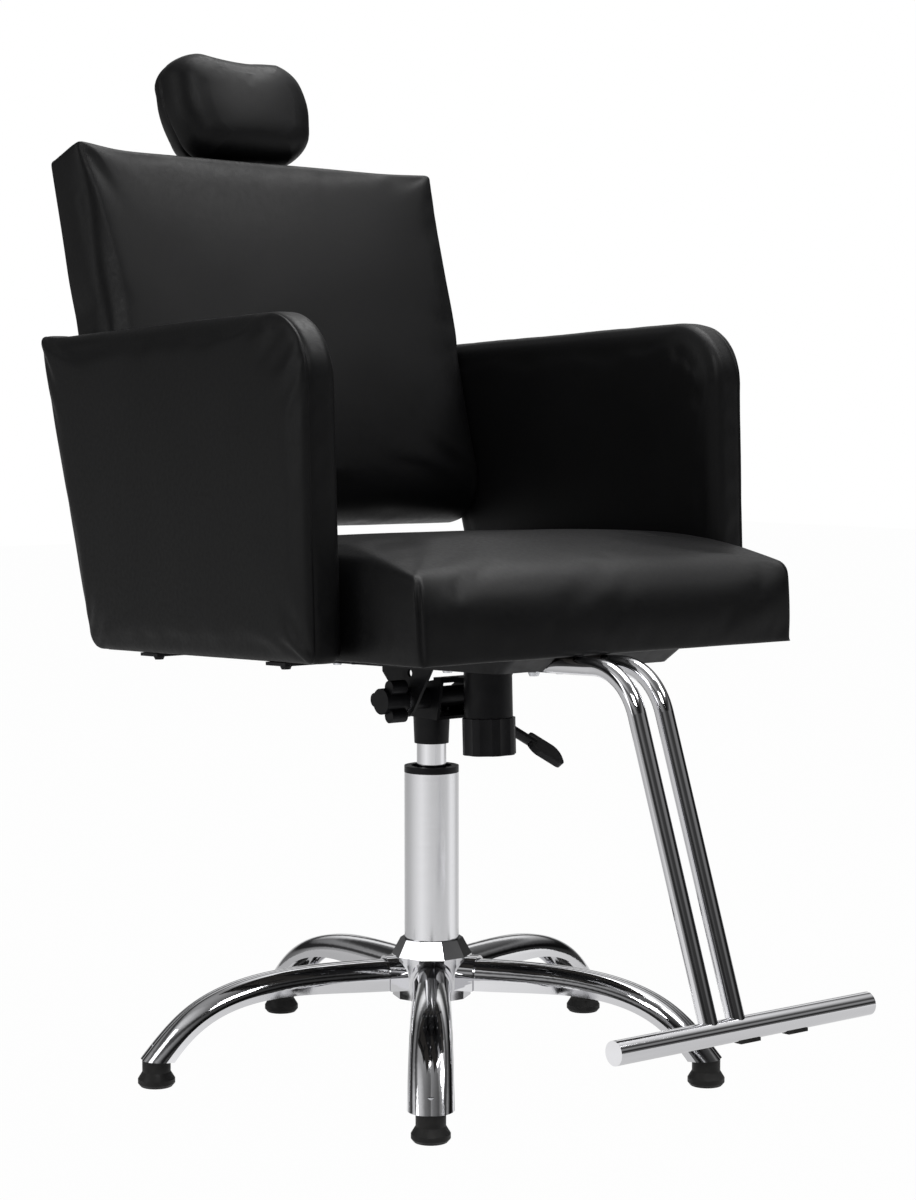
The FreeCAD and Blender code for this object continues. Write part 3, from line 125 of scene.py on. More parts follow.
def banded(nodes, bands):
    """A ramp of greys from a table of places and brightnesses."""
    ramp = nodes.new("ShaderNodeValToRGB")
    stops = ramp.color_ramp.elements
    for place, grey in bands[1:-1]:
        stops.new(place)
    for stop, (place, grey) in zip(stops, bands):
        stop.position = place
        stop.color = (grey, grey, grey, 1)
    return ramp


paper = bpy.data.materials.new("pale_paper")
paper.use_nodes = True
nodes, links = paper.node_tree.nodes, paper.node_tree.links
sheet_shader = nodes["Principled BSDF"]
sheet_shader.inputs["Base Color"].default_value = (0.22, 0.22, 0.22, 1)
sheet_shader.inputs["Roughness"].default_value = 0.9
sheet_shader.inputs["Specular IOR Level"].default_value = 0.1
fibre = nodes.new("ShaderNodeTexNoise")
fibre.inputs["Scale"].default_value = 900
fibre_bump = nodes.new("ShaderNodeBump")
fibre_bump.inputs["Strength"].default_value = 0.05
fibre_bump.inputs["Distance"].default_value = 0.0002
links.new(fibre.outputs["Fac"], fibre_bump.inputs["Height"])
links.new(fibre_bump.outputs["Normal"], sheet_shader.inputs["Normal"])
# The white glow is the backdrop for the camera and, through the bands, painted light for mirrored
# rays
white = nodes.new("ShaderNodeEmission")
rays = nodes.new("ShaderNodeLightPath")
mirrored_share = nodes.new("ShaderNodeMath")
mirrored_share.operation = "MULTIPLY"
links.new(rays.outputs["Is Glossy Ray"], mirrored_share.inputs[0])
around = nodes.new("ShaderNodeTexGradient")
around.gradient_type = "RADIAL"
floor_place = nodes.new("ShaderNodeTexCoord")
links.new(floor_place.outputs["Object"], around.inputs["Vector"])
floor_painted_light_ramp = banded(nodes, FLOOR_PAINTED_LIGHT_BANDS)
links.new(around.outputs["Fac"], floor_painted_light_ramp.inputs["Fac"])
links.new(floor_painted_light_ramp.outputs["Color"], mirrored_share.inputs[1])
share = nodes.new("ShaderNodeMath")
share.operation = "MULTIPLY_ADD"
share.inputs[1].default_value = FLOOR_WHITE_SHARE
links.new(rays.outputs["Is Camera Ray"], share.inputs[0])
links.new(mirrored_share.outputs[0], share.inputs[2])
blend = nodes.new("ShaderNodeMixShader")
links.new(share.outputs[0], blend.inputs["Fac"])
links.new(sheet_shader.outputs["BSDF"], blend.inputs[1])
links.new(white.outputs["Emission"], blend.inputs[2])
links.new(blend.outputs["Shader"], nodes["Material Output"].inputs["Surface"])
floor_mesh.materials.append(paper)
print("paper with", len(FLOOR_PAINTED_LIGHT_BANDS), "bands for mirrored rays")

# %% [markdown]
# The world is white where the camera sees it. What the chrome mirrors matters more: a studio
# is bright behind the chair and overhead, dim on the camera's side, and has a bright wall on
# either hand. Two ramps say so, one by height and one from the left wall to the right. Both
# follow the world's own compass, so the room stays put when the camera moves. A photographed
# room could be wrapped round the chair instead, but bands are easier to aim.

# %% The world around the chair
# Sine of the height above the horizon, and how bright the room is there
SKY_BANDS = ((0.0, 0.34), (0.10, 0.30), (0.17, 0.04), (0.28, 0.05), (0.36, 0.40), (0.46, 0.50),
             (0.54, 0.10), (0.62, 0.08), (0.74, 0.60), (1.0, 0.80))
# Place from the left wall to the right one, and the share of light that comes from there
SIDE_BANDS = ((0.0, 1.0), (0.16, 1.0), (0.30, 0.35), (0.52, 0.25), (0.68, 1.3), (0.86, 1.3),
              (0.96, 0.15), (1.0, 0.1))
# Where the dim front ends and the bright rear begins, and the share of light at each
DEPTH_PLACES = (-0.9, 0.7)
DEPTH_SHARES = (0.3, 1.5)

world = bpy.data.worlds.new("studio")
bpy.context.scene.world = world
world.use_nodes = True
nodes, links = world.node_tree.nodes, world.node_tree.links
nodes.clear()
compass = nodes.new("ShaderNodeTexCoord")
split = nodes.new("ShaderNodeSeparateXYZ")
links.new(compass.outputs["Generated"], split.inputs["Vector"])
height = banded(nodes, SKY_BANDS)
links.new(split.outputs["Z"], height.inputs["Fac"])
depth = nodes.new("ShaderNodeMapRange")
depth.interpolation_type = "SMOOTHSTEP"
for end, place, light in zip(("Min", "Max"), DEPTH_PLACES, DEPTH_SHARES):
    depth.inputs["From " + end].default_value = place
    depth.inputs["To " + end].default_value = light
links.new(split.outputs["Y"], depth.inputs["Value"])
sides = banded(nodes, SIDE_BANDS)
across = nodes.new("ShaderNodeMapRange")
across.inputs["From Min"].default_value = -1
links.new(split.outputs["X"], across.inputs["Value"])
links.new(across.outputs["Result"], sides.inputs["Fac"])
strength = nodes.new("ShaderNodeMath")
strength.operation = "MULTIPLY"
links.new(depth.outputs["Result"], strength.inputs[0])
links.new(sides.outputs["Color"], strength.inputs[1])
room = nodes.new("ShaderNodeBackground")
links.new(height.outputs["Color"], room.inputs["Color"])
links.new(strength.outputs[0], room.inputs["Strength"])
page = nodes.new("ShaderNodeBackground")
page.inputs["Color"].default_value = (1, 1, 1, 1)
rays = nodes.new("ShaderNodeLightPath")
blend = nodes.new("ShaderNodeMixShader")
output = nodes.new("ShaderNodeOutputWorld")
links.new(rays.outputs["Is Camera Ray"], blend.inputs["Fac"])
links.new(room.outputs["Background"], blend.inputs[1])
links.new(page.outputs["Background"], blend.inputs[2])
links.new(blend.outputs["Shader"], output.inputs["Surface"])
bpy.context.scene.view_settings.view_transform = "Standard"
print("world:", len(SKY_BANDS), "bands by height and", len(SIDE_BANDS), "from side to side")

# %% [markdown]
# Four soft boxes do the drawing. The two high ones in front light the face of the backrest and
# the front of the seat, the one at the left lights the outer arm and the side of the seat, and
# the one overhead lays a highlight along every rounded top edge. Small lamps would draw hard
# shadows; boxes this broad give soft ones.

# %% The lamps
def soft_box(name, place, target, width, height, power):
    lamp = bpy.data.lights.new(name, "AREA")
    lamp.shape = "RECTANGLE"
    lamp.size = width
    lamp.size_y = height
    lamp.energy = power
    stand = bpy.data.objects.new(name, lamp)
    stand.location = place
    aim = Vector(target) - Vector(place)
    stand.rotation_euler = aim.to_track_quat("-Z", "Y").to_euler()
    bpy.context.scene.collection.objects.link(stand)


soft_box("box_front_right", (1.4, -1.6, 2.8), (0, 0, 0.7), 1.1, 0.9, 17)
soft_box("box_front_left", (-1.2, -2.1, 2.5), (0, 0, 0.7), 1.0, 0.8, 21)
soft_box("box_left", (-2.7, 0.7, 1.5), (0, 0, 0.5), 1.2, 1.8, 10)
soft_box("box_overhead", (0.7, 0.0, 2.7), (0, 0, 0.5), 1.8, 1.4, 42)

# %% [markdown]
# ## Finishes
# Every finish starts from one shader whose colour and gloss come from the object's own space,
# in metres, so that grain keeps its real scale on every piece and rides along when it moves.
# Two small helpers save repeating the same three nodes: one makes a speckle, one turns a
# speckle into tiny height.

# %% Helpers for finishes
# Nearly all of a noise lies between these two values
SPECKLE_LOW, SPECKLE_HIGH = 0.3, 0.7


def new_finish(name, colour, metallic, roughness):
    material = bpy.data.materials.new(name)
    material.use_nodes = True
    shader = material.node_tree.nodes["Principled BSDF"]
    shader.inputs["Base Color"].default_value = (*colour, 1)
    shader.inputs["Metallic"].default_value = metallic
    shader.inputs["Roughness"].default_value = roughness
    return material, shader


def speckle(material, scale, detail=2.0, stretch=(1, 1, 1)):
    """Noise in the object's own metres, finer along an axis that is stretched."""
    nodes, links = material.node_tree.nodes, material.node_tree.links
    place = nodes.new("ShaderNodeTexCoord")
    mapping = nodes.new("ShaderNodeMapping")
    mapping.inputs["Scale"].default_value = stretch
    texture = nodes.new("ShaderNodeTexNoise")
    texture.inputs["Scale"].default_value = scale
    texture.inputs["Detail"].default_value = detail
    links.new(place.outputs["Object"], mapping.inputs["Vector"])
    links.new(mapping.outputs["Vector"], texture.inputs["Vector"])
    return texture.outputs["Fac"]


def pebbles(material, scale):
    """Rounded cells, as pressed into vinyl and moulded plastic."""
    nodes, links = material.node_tree.nodes, material.node_tree.links
    place = nodes.new("ShaderNodeTexCoord")
    texture = nodes.new("ShaderNodeTexVoronoi")
    texture.feature = "SMOOTH_F1"
    texture.inputs["Scale"].default_value = scale
    links.new(place.outputs["Object"], texture.inputs["Vector"])
    return texture.outputs["Distance"]


def ranged(material, source, low, high):
    """Turn a speckle into a range of roughness or colour share."""
    nodes, links = material.node_tree.nodes, material.node_tree.links
    spread = nodes.new("ShaderNodeMapRange")
    spread.inputs["From Min"].default_value = SPECKLE_LOW
    spread.inputs["From Max"].default_value = SPECKLE_HIGH
    spread.inputs["To Min"].default_value = low
    spread.inputs["To Max"].default_value = high
    links.new(source, spread.inputs["Value"])
    return spread.outputs["Result"]


def tinted(material, shader, share, dark, light):
    """Colour that wanders between two tones."""
    nodes, links = material.node_tree.nodes, material.node_tree.links
    ramp = nodes.new("ShaderNodeMix")
    ramp.data_type = "RGBA"
    ramp.inputs["A"].default_value = (*dark, 1)
    ramp.inputs["B"].default_value = (*light, 1)
    links.new(share, ramp.inputs["Factor"])
    links.new(ramp.outputs["Result"], shader.inputs["Base Color"])


def raised(material, shader, layers):
    """Stack heights of (source, strength, metres) into the normal, as a finish's last step."""
    nodes, links = material.node_tree.nodes, material.node_tree.links
    previous = None
    for source, strength, height in layers:
        bump = nodes.new("ShaderNodeBump")
        bump.inputs["Strength"].default_value = strength
        bump.inputs["Distance"].default_value = height
        links.new(source, bump.inputs["Height"])
        if previous:
            links.new(previous, bump.inputs["Normal"])
        previous = bump.outputs["Normal"]
    links.new(previous, shader.inputs["Normal"])
    print(material.name, "is made of", len(nodes), "nodes")


# %% [markdown]
# Chrome plate is a mirror with faint waves, because the steel under it was polished by hand,
# and a haze of fine wipe marks. Slow waves bend the reflections; a quick speckle moves the
# roughness a little. A flat mirror would look like glass.

# %% Chrome plate
chrome, shader = new_finish("chrome_plate", (0.80, 0.80, 0.82), 1.0, 0.05)
links = chrome.node_tree.links
links.new(ranged(chrome, speckle(chrome, 60, 4), 0.03, 0.10), shader.inputs["Roughness"])
raised(chrome, shader, [
    (speckle(chrome, 22, 1), 0.25, 0.0004),
    (speckle(chrome, 900, 2), 0.04, 0.00005),
])

# %% [markdown]
# The column's sleeve is ground steel, not plated: round the tube run thousands of fine
# scratches. Noise that changes quickly along the column and slowly round it draws them.

# %% Satin ground steel
satin, shader = new_finish("satin_ground_steel", (0.80, 0.80, 0.82), 1.0, 0.20)
links = satin.node_tree.links
scratches = speckle(satin, 40, 3, (1, 1, 60))
links.new(ranged(satin, scratches, 0.15, 0.25), shader.inputs["Roughness"])
raised(satin, shader, [(scratches, 0.12, 0.00006)])

# %% [markdown]
# Zinc-plated screws, the spring and the bearing are bright but cloudy, with a cool cast that
# varies from patch to patch.

# %% Zinc plate
zinc, shader = new_finish("bright_zinc", (0.66, 0.67, 0.70), 1.0, 0.28)
cloud = speckle(zinc, 260, 4)
tinted(zinc, shader, ranged(zinc, cloud, 0, 1), (0.56, 0.57, 0.60), (0.74, 0.75, 0.78))
zinc.node_tree.links.new(ranged(zinc, cloud, 0.20, 0.38), shader.inputs["Roughness"])
raised(zinc, shader, [(speckle(zinc, 1400, 2), 0.10, 0.00008)])

# %% [markdown]
# The bracket, the tray and the bent bar are powder coated. The powder melts into a skin with
# an orange-peel surface; where a finger or a spanner has rubbed it, it is a touch glossier.

# %% Black powder coat
powder, shader = new_finish("black_powder_coat", (0.015, 0.015, 0.017), 0.0, 0.42)
shader.inputs["Specular IOR Level"].default_value = 0.18
tinted(powder, shader, ranged(powder, speckle(powder, 45, 4), 0, 1),
       (0.011, 0.011, 0.013), (0.022, 0.022, 0.024))
powder.node_tree.links.new(ranged(powder, speckle(powder, 70, 3), 0.34, 0.50),
                           shader.inputs["Roughness"])
raised(powder, shader, [
    (speckle(powder, 420, 2), 0.22, 0.0002),
    (pebbles(powder, 1500), 0.10, 0.00008),
])

# %% [markdown]
# Knobs, the lever's paddle and the column's collar are moulded, and the mould was lightly
# spark-eroded, which leaves a dry, even grain.

# %% Moulded black plastic
plastic, shader = new_finish("moulded_black_plastic", (0.018, 0.018, 0.020), 0.0, 0.40)
shader.inputs["Specular IOR Level"].default_value = 0.18
tinted(plastic, shader, ranged(plastic, speckle(plastic, 60, 3), 0, 1),
       (0.013, 0.013, 0.015), (0.024, 0.024, 0.027))
plastic.node_tree.links.new(ranged(plastic, speckle(plastic, 120, 3), 0.32, 0.48),
                            shader.inputs["Roughness"])
raised(plastic, shader, [(pebbles(plastic, 1800), 0.16, 0.00008)])

# %% [markdown]
# The glides are hard rubber. Dust settles on them first, so their colour drifts to grey in
# soft patches, and they shine less than the plastic.

# %% Hard rubber
rubber, shader = new_finish("hard_black_rubber", (0.02, 0.02, 0.02), 0.0, 0.55)
shader.inputs["Specular IOR Level"].default_value = 0.3
tinted(rubber, shader, ranged(rubber, speckle(rubber, 55, 5), 0, 1),
       (0.012, 0.012, 0.012), (0.034, 0.033, 0.032))
rubber.node_tree.links.new(ranged(rubber, speckle(rubber, 90, 4), 0.42, 0.66),
                           shader.inputs["Roughness"])
raised(rubber, shader, [(speckle(rubber, 1100, 3), 0.15, 0.00012)])

# %% [markdown]
# The boards inside the upholstery are birch ply, stained black. The stain sinks into the
# soft spring wood, which a noise stretched along the board shows as streaks.

# %% Stained plywood
ply, shader = new_finish("stained_plywood", (0.05, 0.045, 0.04), 0.0, 0.62)
streaks = speckle(ply, 26, 6, (9, 1, 9))
tinted(ply, shader, ranged(ply, streaks, 0, 1), (0.022, 0.019, 0.017), (0.062, 0.054, 0.046))
ply.node_tree.links.new(ranged(ply, streaks, 0.52, 0.74), shader.inputs["Roughness"])
raised(ply, shader, [(streaks, 0.25, 0.0002)])

# %% [markdown]
# The cover is soft black vinyl with a fine pressed grain. Cells a millimetre across give the
# grain, a slower noise gives the slight unevenness of the foam beneath, and the gloss drifts
# where hands and clothes have polished it.

# %% Black vinyl
vinyl, shader = new_finish("black_vinyl_cover", (0.012, 0.012, 0.014), 0.0, 0.42)
shader.inputs["Specular IOR Level"].default_value = 0.20
tinted(vinyl, shader, ranged(vinyl, speckle(vinyl, 14, 4), 0, 1),
       (0.0050, 0.0050, 0.0054), (0.0065, 0.0065, 0.0070))
vinyl.node_tree.links.new(ranged(vinyl, speckle(vinyl, 240, 3), 0.40, 0.50),
                          shader.inputs["Roughness"])
raised(vinyl, shader, [
    (speckle(vinyl, 11, 1), 0.06, 0.0010),
    (pebbles(vinyl, 950), 0.20, 0.00018),
    (speckle(vinyl, 2400, 2), 0.08, 0.00005),
])

# %% [markdown]
# Every piece of the construction model keeps its shape and gets its finish by the slot that
# the record names for it.

# %% Dress the construction pieces
FINISH_OF_SLOT = {
    "chrome": chrome,
    "satin_steel": satin,
    "black_plastic": plastic,
    "foot_rubber": rubber,
    "black_steel": powder,
    "zinc_steel": zinc,
    "plywood": ply,
    "black_vinyl": vinyl,
}
for row in frame["record"]["subparts"]:
    piece = frame["nodes"][row["node"]]
    for slot in piece.material_slots:
        slot.material = FINISH_OF_SLOT[row["material_slot"]]

# %% [markdown]
# ## How a cover is cut
# All five covers are the same kind of thing: an outline with four rounded corners, seen from
# one side, and a stack of rings that carries it through the cushion's thickness. A ring is
# the outline drawn in by some distance, as an upholsterer trims a template. A box primitive
# with a bevel could stand here, but its faces would not line up with the seams.

# %% Outlines with four rounded corners
ARC_STEPS = 10
EASING = 0.08


def eased(t):
    """Share of a side at step t: the steps are shorter beside the corners."""
    return t - EASING * math.sin(2 * math.pi * t)


def drawn_in(corners, distances):
    """Move each side of an anticlockwise outline inwards by its own distance."""
    sides = []
    for k, corner in enumerate(corners):
        along = (corners[(k + 1) % 4] - corner).normalized()
        inward = Vector((-along.y, along.x))
        sides.append((inward, inward.dot(corner) + distances[k]))
    moved = []
    for k in range(4):
        (a, c), (b, d) = sides[k - 1], sides[k]
        det = a.x * b.y - b.x * a.y
        moved.append(Vector(((c * b.y - d * a.y) / det, (d * a.x - c * b.x) / det)))
    return moved


def corner_round(corners, k, radius):
    """Centre of a corner's arc, and the directions to its start, middle and end."""
    back = (corners[k - 1] - corners[k]).normalized()
    ahead = (corners[(k + 1) % 4] - corners[k]).normalized()
    half = back.angle(ahead) / 2
    middle = (back + ahead).normalized()
    centre = corners[k] + middle * radius / math.sin(half)
    start = corners[k] + back * radius / math.tan(half) - centre
    end = corners[k] + ahead * radius / math.tan(half) - centre
    return centre, start.normalized(), -middle, end.normalized()


def resampled(line, count):
    """Points along a line of many points, closer together near both ends."""
    run = [0.0]
    for a, b in zip(line, line[1:]):
        run.append(run[-1] + (b - a).length)
    points = []
    k = 0
    for step in range(count + 1):
        target = eased(step / count) * run[-1]
        while k < len(line) - 2 and run[k + 1] < target:
            k += 1
        gap = run[k + 1] - run[k]
        points.append(line[k].lerp(line[k + 1], (target - run[k]) / gap if gap else 0))
    return points


def outline_ring(corners, radii, counts, distances):
    """One closed ring; side k runs from the middle of corner k to the middle of the next."""
    drawn = drawn_in(corners, distances)
    shares = [i / ARC_STEPS for i in range(ARC_STEPS + 1)]
    ring = []
    for k in range(4):
        following = (k + 1) % 4
        centre, _, middle, end = corner_round(drawn, k, radii[k])
        line = [centre + middle.slerp(end, share) * radii[k] for share in shares]
        centre, start, middle, _ = corner_round(drawn, following, radii[following])
        line += [centre + start.slerp(middle, share) * radii[following] for share in shares]
        ring += resampled(line, counts[k % 2])[:-1]
    return ring


def corner_steps(counts):
    """Places in a ring where its four sides begin."""
    return [0, counts[0], sum(counts), 2 * counts[0] + counts[1]]


# %% [markdown]
# Rings make the sides. The two open ends are closed by a grid stretched between the four
# sides of the last ring, known as a Coons patch. It gives even squares all over the panel,
# which cloth likes, and lets the middle of the panel stand proud as a crown.

# %% Rings and patches to a closed cover
CROWN_FULLNESS = 2.6


def patch_points(ring, counts, crown):
    """Inner points of the grid inside a ring, lifted by crown, a vector, at the middle."""
    m, n = counts
    count = len(ring)
    corner_a, corner_b, corner_c, corner_d = ring[0], ring[m], ring[m + n], ring[2 * m + n]
    points = {}
    for j in range(1, n):
        v = eased(j / n)
        for i in range(1, m):
            u = eased(i / m)
            low, high = ring[i], ring[2 * m + n - i]
            right, left = ring[m + j], ring[(count - j) % count]
            corners = (corner_a * (1 - u) * (1 - v) + corner_b * u * (1 - v)
                       + corner_c * u * v + corner_d * (1 - u) * v)
            flat = low * (1 - v) + high * v + left * (1 - u) + right * u - corners
            rise = 1 - abs(2 * u - 1) ** CROWN_FULLNESS
            rise *= 1 - abs(2 * v - 1) ** CROWN_FULLNESS
            points[i, j] = flat + crown * rise
    return points


def sewn_cover(name, rings, counts, crowns, space):
    """Closed mesh from stacked rings of points, with a crowned patch at each end."""
    m, n = counts
    count = len(rings[0])
    points = [point for ring in rings for point in ring]
    faces = []
    for r in range(len(rings) - 1):
        for k in range(count):
            after = (k + 1) % count
            faces.append((r * count + k, r * count + after,
                          (r + 1) * count + after, (r + 1) * count + k))
    for first, ring, crown in ((0, rings[0], crowns[0]),
                               ((len(rings) - 1) * count, rings[-1], crowns[1])):
        index = {}
        for i in range(m + 1):
            index[i, 0] = first + i
            index[i, n] = first + 2 * m + n - i
        for j in range(n + 1):
            index[m, j] = first + m + j
            index[0, j] = first + (count - j) % count
        for place, point in patch_points(ring, counts, crown).items():
            index[place] = len(points)
            points.append(point)
        for j in range(n):
            for i in range(m):
                faces.append((index[i, j], index[i + 1, j], index[i + 1, j + 1], index[i, j + 1]))
    mesh = bpy.data.meshes.new(name)
    mesh.from_pydata([space @ point for point in points], [], faces)
    skin = bmesh.new()
    skin.from_mesh(mesh)
    bmesh.ops.recalc_face_normals(skin, faces=skin.faces)
    skin.to_mesh(mesh)
    skin.free()
    mesh.polygons.foreach_set("use_smooth", [True] * len(mesh.polygons))
    mesh.materials.append(vinyl)
    cover = bpy.data.objects.new(name, mesh)
    bpy.context.scene.collection.objects.link(cover)
    return cover


# %% [markdown]
# A sewn cover is tight over foam. The foam pushes outwards, and the seams hold it back, so
# each panel swells between its seams and puckers a little beside them. Cloth with pressure
# does that: the seams are pinned, twenty frames are run, and no point may leave its place by
# more than a few millimetres.

# %% Swell a cover between its seams
SWELL_FRAMES = 20
PANEL_PRESSURE = 2.0
PANEL_SLACK = 0.0015
# How far a point may go, in millimetres, where a neighbour is close and where none is
CLOSE_LIMIT = 0.8
FREE_LIMIT = 2.0


def swollen(cover, held, pressure, slack, limit):
    """Run the cloth; limit(point) says in metres how far each place may move."""
    mesh = cover.data
    start = [vertex.co.copy() for vertex in mesh.vertices]
    pins = cover.vertex_groups.new(name="seams")
    pins.add(held, 1.0, "REPLACE")
    cloth = cover.modifiers.new("swell", "CLOTH")
    cloth.settings.vertex_group_mass = pins.name
    cloth.settings.use_pressure = True
    cloth.settings.uniform_pressure_force = pressure
    cloth.settings.effector_weights.gravity = 0
    cloth.settings.tension_stiffness = 30
    cloth.settings.compression_stiffness = 30
    cloth.settings.shear_stiffness = 10
    cloth.settings.bending_stiffness = 2
    cloth.settings.shrink_min = -slack
    scene = bpy.context.scene
    for step in range(1, SWELL_FRAMES + 1):
        scene.frame_set(step)
    moved = cover.evaluated_get(bpy.context.evaluated_depsgraph_get())
    ends = [vertex.co.copy() for vertex in moved.data.vertices]
    cover.modifiers.remove(cloth)
    scene.frame_set(1)
    farthest = 0.0
    for vertex, a, b in zip(mesh.vertices, start, ends):
        step = b - a
        most = limit(a)
        if step.length > 0 and most > 0:
            step *= most * math.tanh(step.length / most) / step.length
            vertex.co = a + step
            farthest = max(farthest, step.length)
        else:
            vertex.co = a
    print(cover.name, "swelled by up to", round(farthest / MM, 1), "mm")


# %% [markdown]
# Foam under a cover is never perfectly even. A slow noise, a few tenths of a millimetre high,
# moves every point along its normal, and a smooth subdivision then rounds the small steps.

# %% Unevenness and smoothing
def uneven(cover, height, size, seed):
    normals = [vertex.normal.copy() for vertex in cover.data.vertices]
    for vertex, normal in zip(cover.data.vertices, normals):
        place = vertex.co / size + Vector((seed, 0, 0))
        vertex.co += normal * (noise.noise(place) * height)


def smoothed(cover):
    soften = cover.modifiers.new("soften", "SUBSURF")
    soften.levels = 1
    soften.render_levels = 1


# %% [markdown]
# ## The seat
# The seat is a block of foam on a board. Its top runs softly down over the front, its sides
# stand upright, and each corner has one short upright seam where the vinyl was cut and sewn.
# The rings are stacked from a pocket that takes the board, round the lower edge, up the
# sides and over the shoulder. Each height is a share of the edge's own height at that place.

# %% The seat's rings
SEAT_HALF = 208.6
SEAT_FRONT = -267.4
SEAT_REAR = 190
SEAT_CORNERS = [Vector(c) for c in ((-SEAT_HALF, SEAT_FRONT), (SEAT_HALF, SEAT_FRONT),
                                    (SEAT_HALF, SEAT_REAR), (-SEAT_HALF, SEAT_REAR))]
SEAT_RADII = (2, 2, 6, 6)
SEAT_COUNTS = (60, 64)
SEAT_TOP_CROWN = 5
# Height of the upper edge above the underside, from the front to the rear
SEAT_EDGE = ((-267, 70), (-262, 73), (-254, 76.5), (-240, 80.5), (-228, 83.5), (-212, 87.5),
             (-196, 90.5), (-180, 93.5), (-163, 95), (-140, 96), (120, 96), (155, 95.3),
             (174, 93), (184, 90), (190, 86))
# Height, then how far the front and the other three sides are drawn in there
SEAT_HEM = ((12.7, 9.6, 9.6), (0.6, 9.6, 9.6), (0.0, 8.6, 8.6), (0.0, 4.0, 4.0),
            (0.8, 1.9, 1.6), (2.6, 0.9, 0.6))
# Share of the edge's height, then the same two distances
SEAT_SIDE = ((0.10, 0.2, 0.1), (0.20, 0.0, 0.0), (0.30, 0.0, 0.0), (0.40, 0.3, 0.0),
             (0.50, 0.9, 0.0), (0.60, 2.1, 0.2), (0.69, 3.9, 0.6), (0.77, 6.4, 1.5),
             (0.84, 9.6, 2.9), (0.895, 13.2, 5.0), (0.938, 17.4, 7.8), (0.968, 21.8, 11.0),
             (0.988, 26.0, 14.5), (1.0, 31.0, 19.0))


def measured(table, place):
    """Read a table of places and values, with straight lines between them."""
    for (p, a), (q, b) in zip(table, table[1:]):
        if place <= q:
            return a + (b - a) * max(place - p, 0) / (q - p)
    return table[-1][1]


print("seat edge", measured(SEAT_EDGE, 0), "mm high at the middle")

# %% [markdown]
# The front corners are crisp, because two panels are sewn together there, while the shoulder
# between them is a soft roll. Each ring is therefore cut twice, once soft and once crisp, and
# the two are blended by how close a point lies to a front corner. The corner nearest to the
# camera is a little rounder than the far one. A bevel with one width for the whole edge
# couldn't change along it like this.

# %% Soft shoulder and crisp corners
CORNER_SHARE = 0.06
CORNER_FLARE = 1.6
CORNER_FLARE_HEIGHT = 20
NEAR_CORNER_CRISPNESS = 0.6
# A corner starts this far in front of the column, and is full after that many millimetres
CORNER_START = 150
CORNER_LENGTH = 100
CORNER_HALF = 205
EDGE_POWER = 8


def smooth_step(value):
    """Zero below 0, one above 1, and a soft rise between."""
    value = min(max(value, 0), 1)
    return value * value * (3 - 2 * value)


def seat_ring(height, share, front, other):
    """The shoulder is soft along the front and crisp at the two front corners."""
    soft = outline_ring(SEAT_CORNERS, SEAT_RADII, SEAT_COUNTS, [front, other, other, other])
    tight = other * CORNER_SHARE
    crisp = outline_ring(SEAT_CORNERS, SEAT_RADII, SEAT_COUNTS,
                         [front * CORNER_SHARE, tight, other, tight])
    ring = []
    for p, q in zip(soft, crisp):
        nearness = min(abs(p.x) / CORNER_HALF, 1) ** EDGE_POWER
        nearness *= smooth_step((-p.y - CORNER_START) / CORNER_LENGTH)
        place = p.lerp(q, nearness if p.x > 0 else NEAR_CORNER_CRISPNESS * nearness)
        z = height + share * measured(SEAT_EDGE, place.y)
        flare = CORNER_FLARE * nearness * smooth_step(z / CORNER_FLARE_HEIGHT)
        ring.append(Vector((place.x + math.copysign(flare, place.x), place.y, z)))
    return ring


seat_rings = [seat_ring(height, 0, front, other) for height, front, other in SEAT_HEM]
seat_rings += [seat_ring(0, share, front, other) for share, front, other in SEAT_SIDE]
seat_cover = sewn_cover("seat_cover", seat_rings, SEAT_COUNTS,
                        (Vector((0, 0, 0)), Vector((0, 0, SEAT_TOP_CROWN))), seat_space)
print("seat cover:", len(seat_cover.data.vertices), "points in", len(seat_rings), "rings")

# %% [markdown]
# The corner seams run up through the first points of the four sides. The front ones are drawn
# in by six millimetres, the rear ones by a millimetre and a half, and all fade out towards
# both ends, which makes the narrow valley of a sewn corner. A groove could be carved into the
# mesh afterwards, but then the cloth would not swell up to it. The seams are pinned, and so is
# all that lies under the board's edge.

# %% The seat's seams and swelling
FRONT_SEAM_DEPTH = 6.0
REAR_SEAM_DEPTH = 1.5
SEAM_FADE_RINGS = 4
SEAM_START = 4
SEAT_MIDDLE = -38
# Beside the arms the sides are farther out and farther back than this
SEAT_SIDE_FROM = 200
SEAT_ARM_FROM = -180

seat_ring_size = len(seat_rings[0])
seam_end = len(seat_rings) - 2
seat_held = list(range(len(SEAT_HEM) * seat_ring_size))
for r in range(SEAM_START, seam_end):
    fade = min((r - SEAM_START + 1) / SEAM_FADE_RINGS, 1, (seam_end - r) / SEAM_FADE_RINGS)
    for step in corner_steps(SEAT_COUNTS):
        index = r * seat_ring_size + step
        local = seat_rings[r][step]
        inward = Vector((-local.x, -(local.y - SEAT_MIDDLE), 0)).normalized()
        seam_depth = FRONT_SEAM_DEPTH if local.y < 0 else REAR_SEAM_DEPTH
        seat_cover.data.vertices[index].co = seat_space @ (local + inward * seam_depth * fade)
        seat_held.append(index)


def seat_limit(point):
    """The sides stay clear of the arms; the front and the top may rise further."""
    local = seat_space.inverted() @ point
    if abs(local.x) > SEAT_SIDE_FROM and local.y > SEAT_ARM_FROM:
        return CLOSE_LIMIT * MM
    return FREE_LIMIT * MM


swollen(seat_cover, sorted(set(seat_held)), PANEL_PRESSURE, PANEL_SLACK, seat_limit)
uneven(seat_cover, height=0.0006, size=0.07, seed=3)
smoothed(seat_cover)
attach(seat_cover, "seat")
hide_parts("seat_cushion")

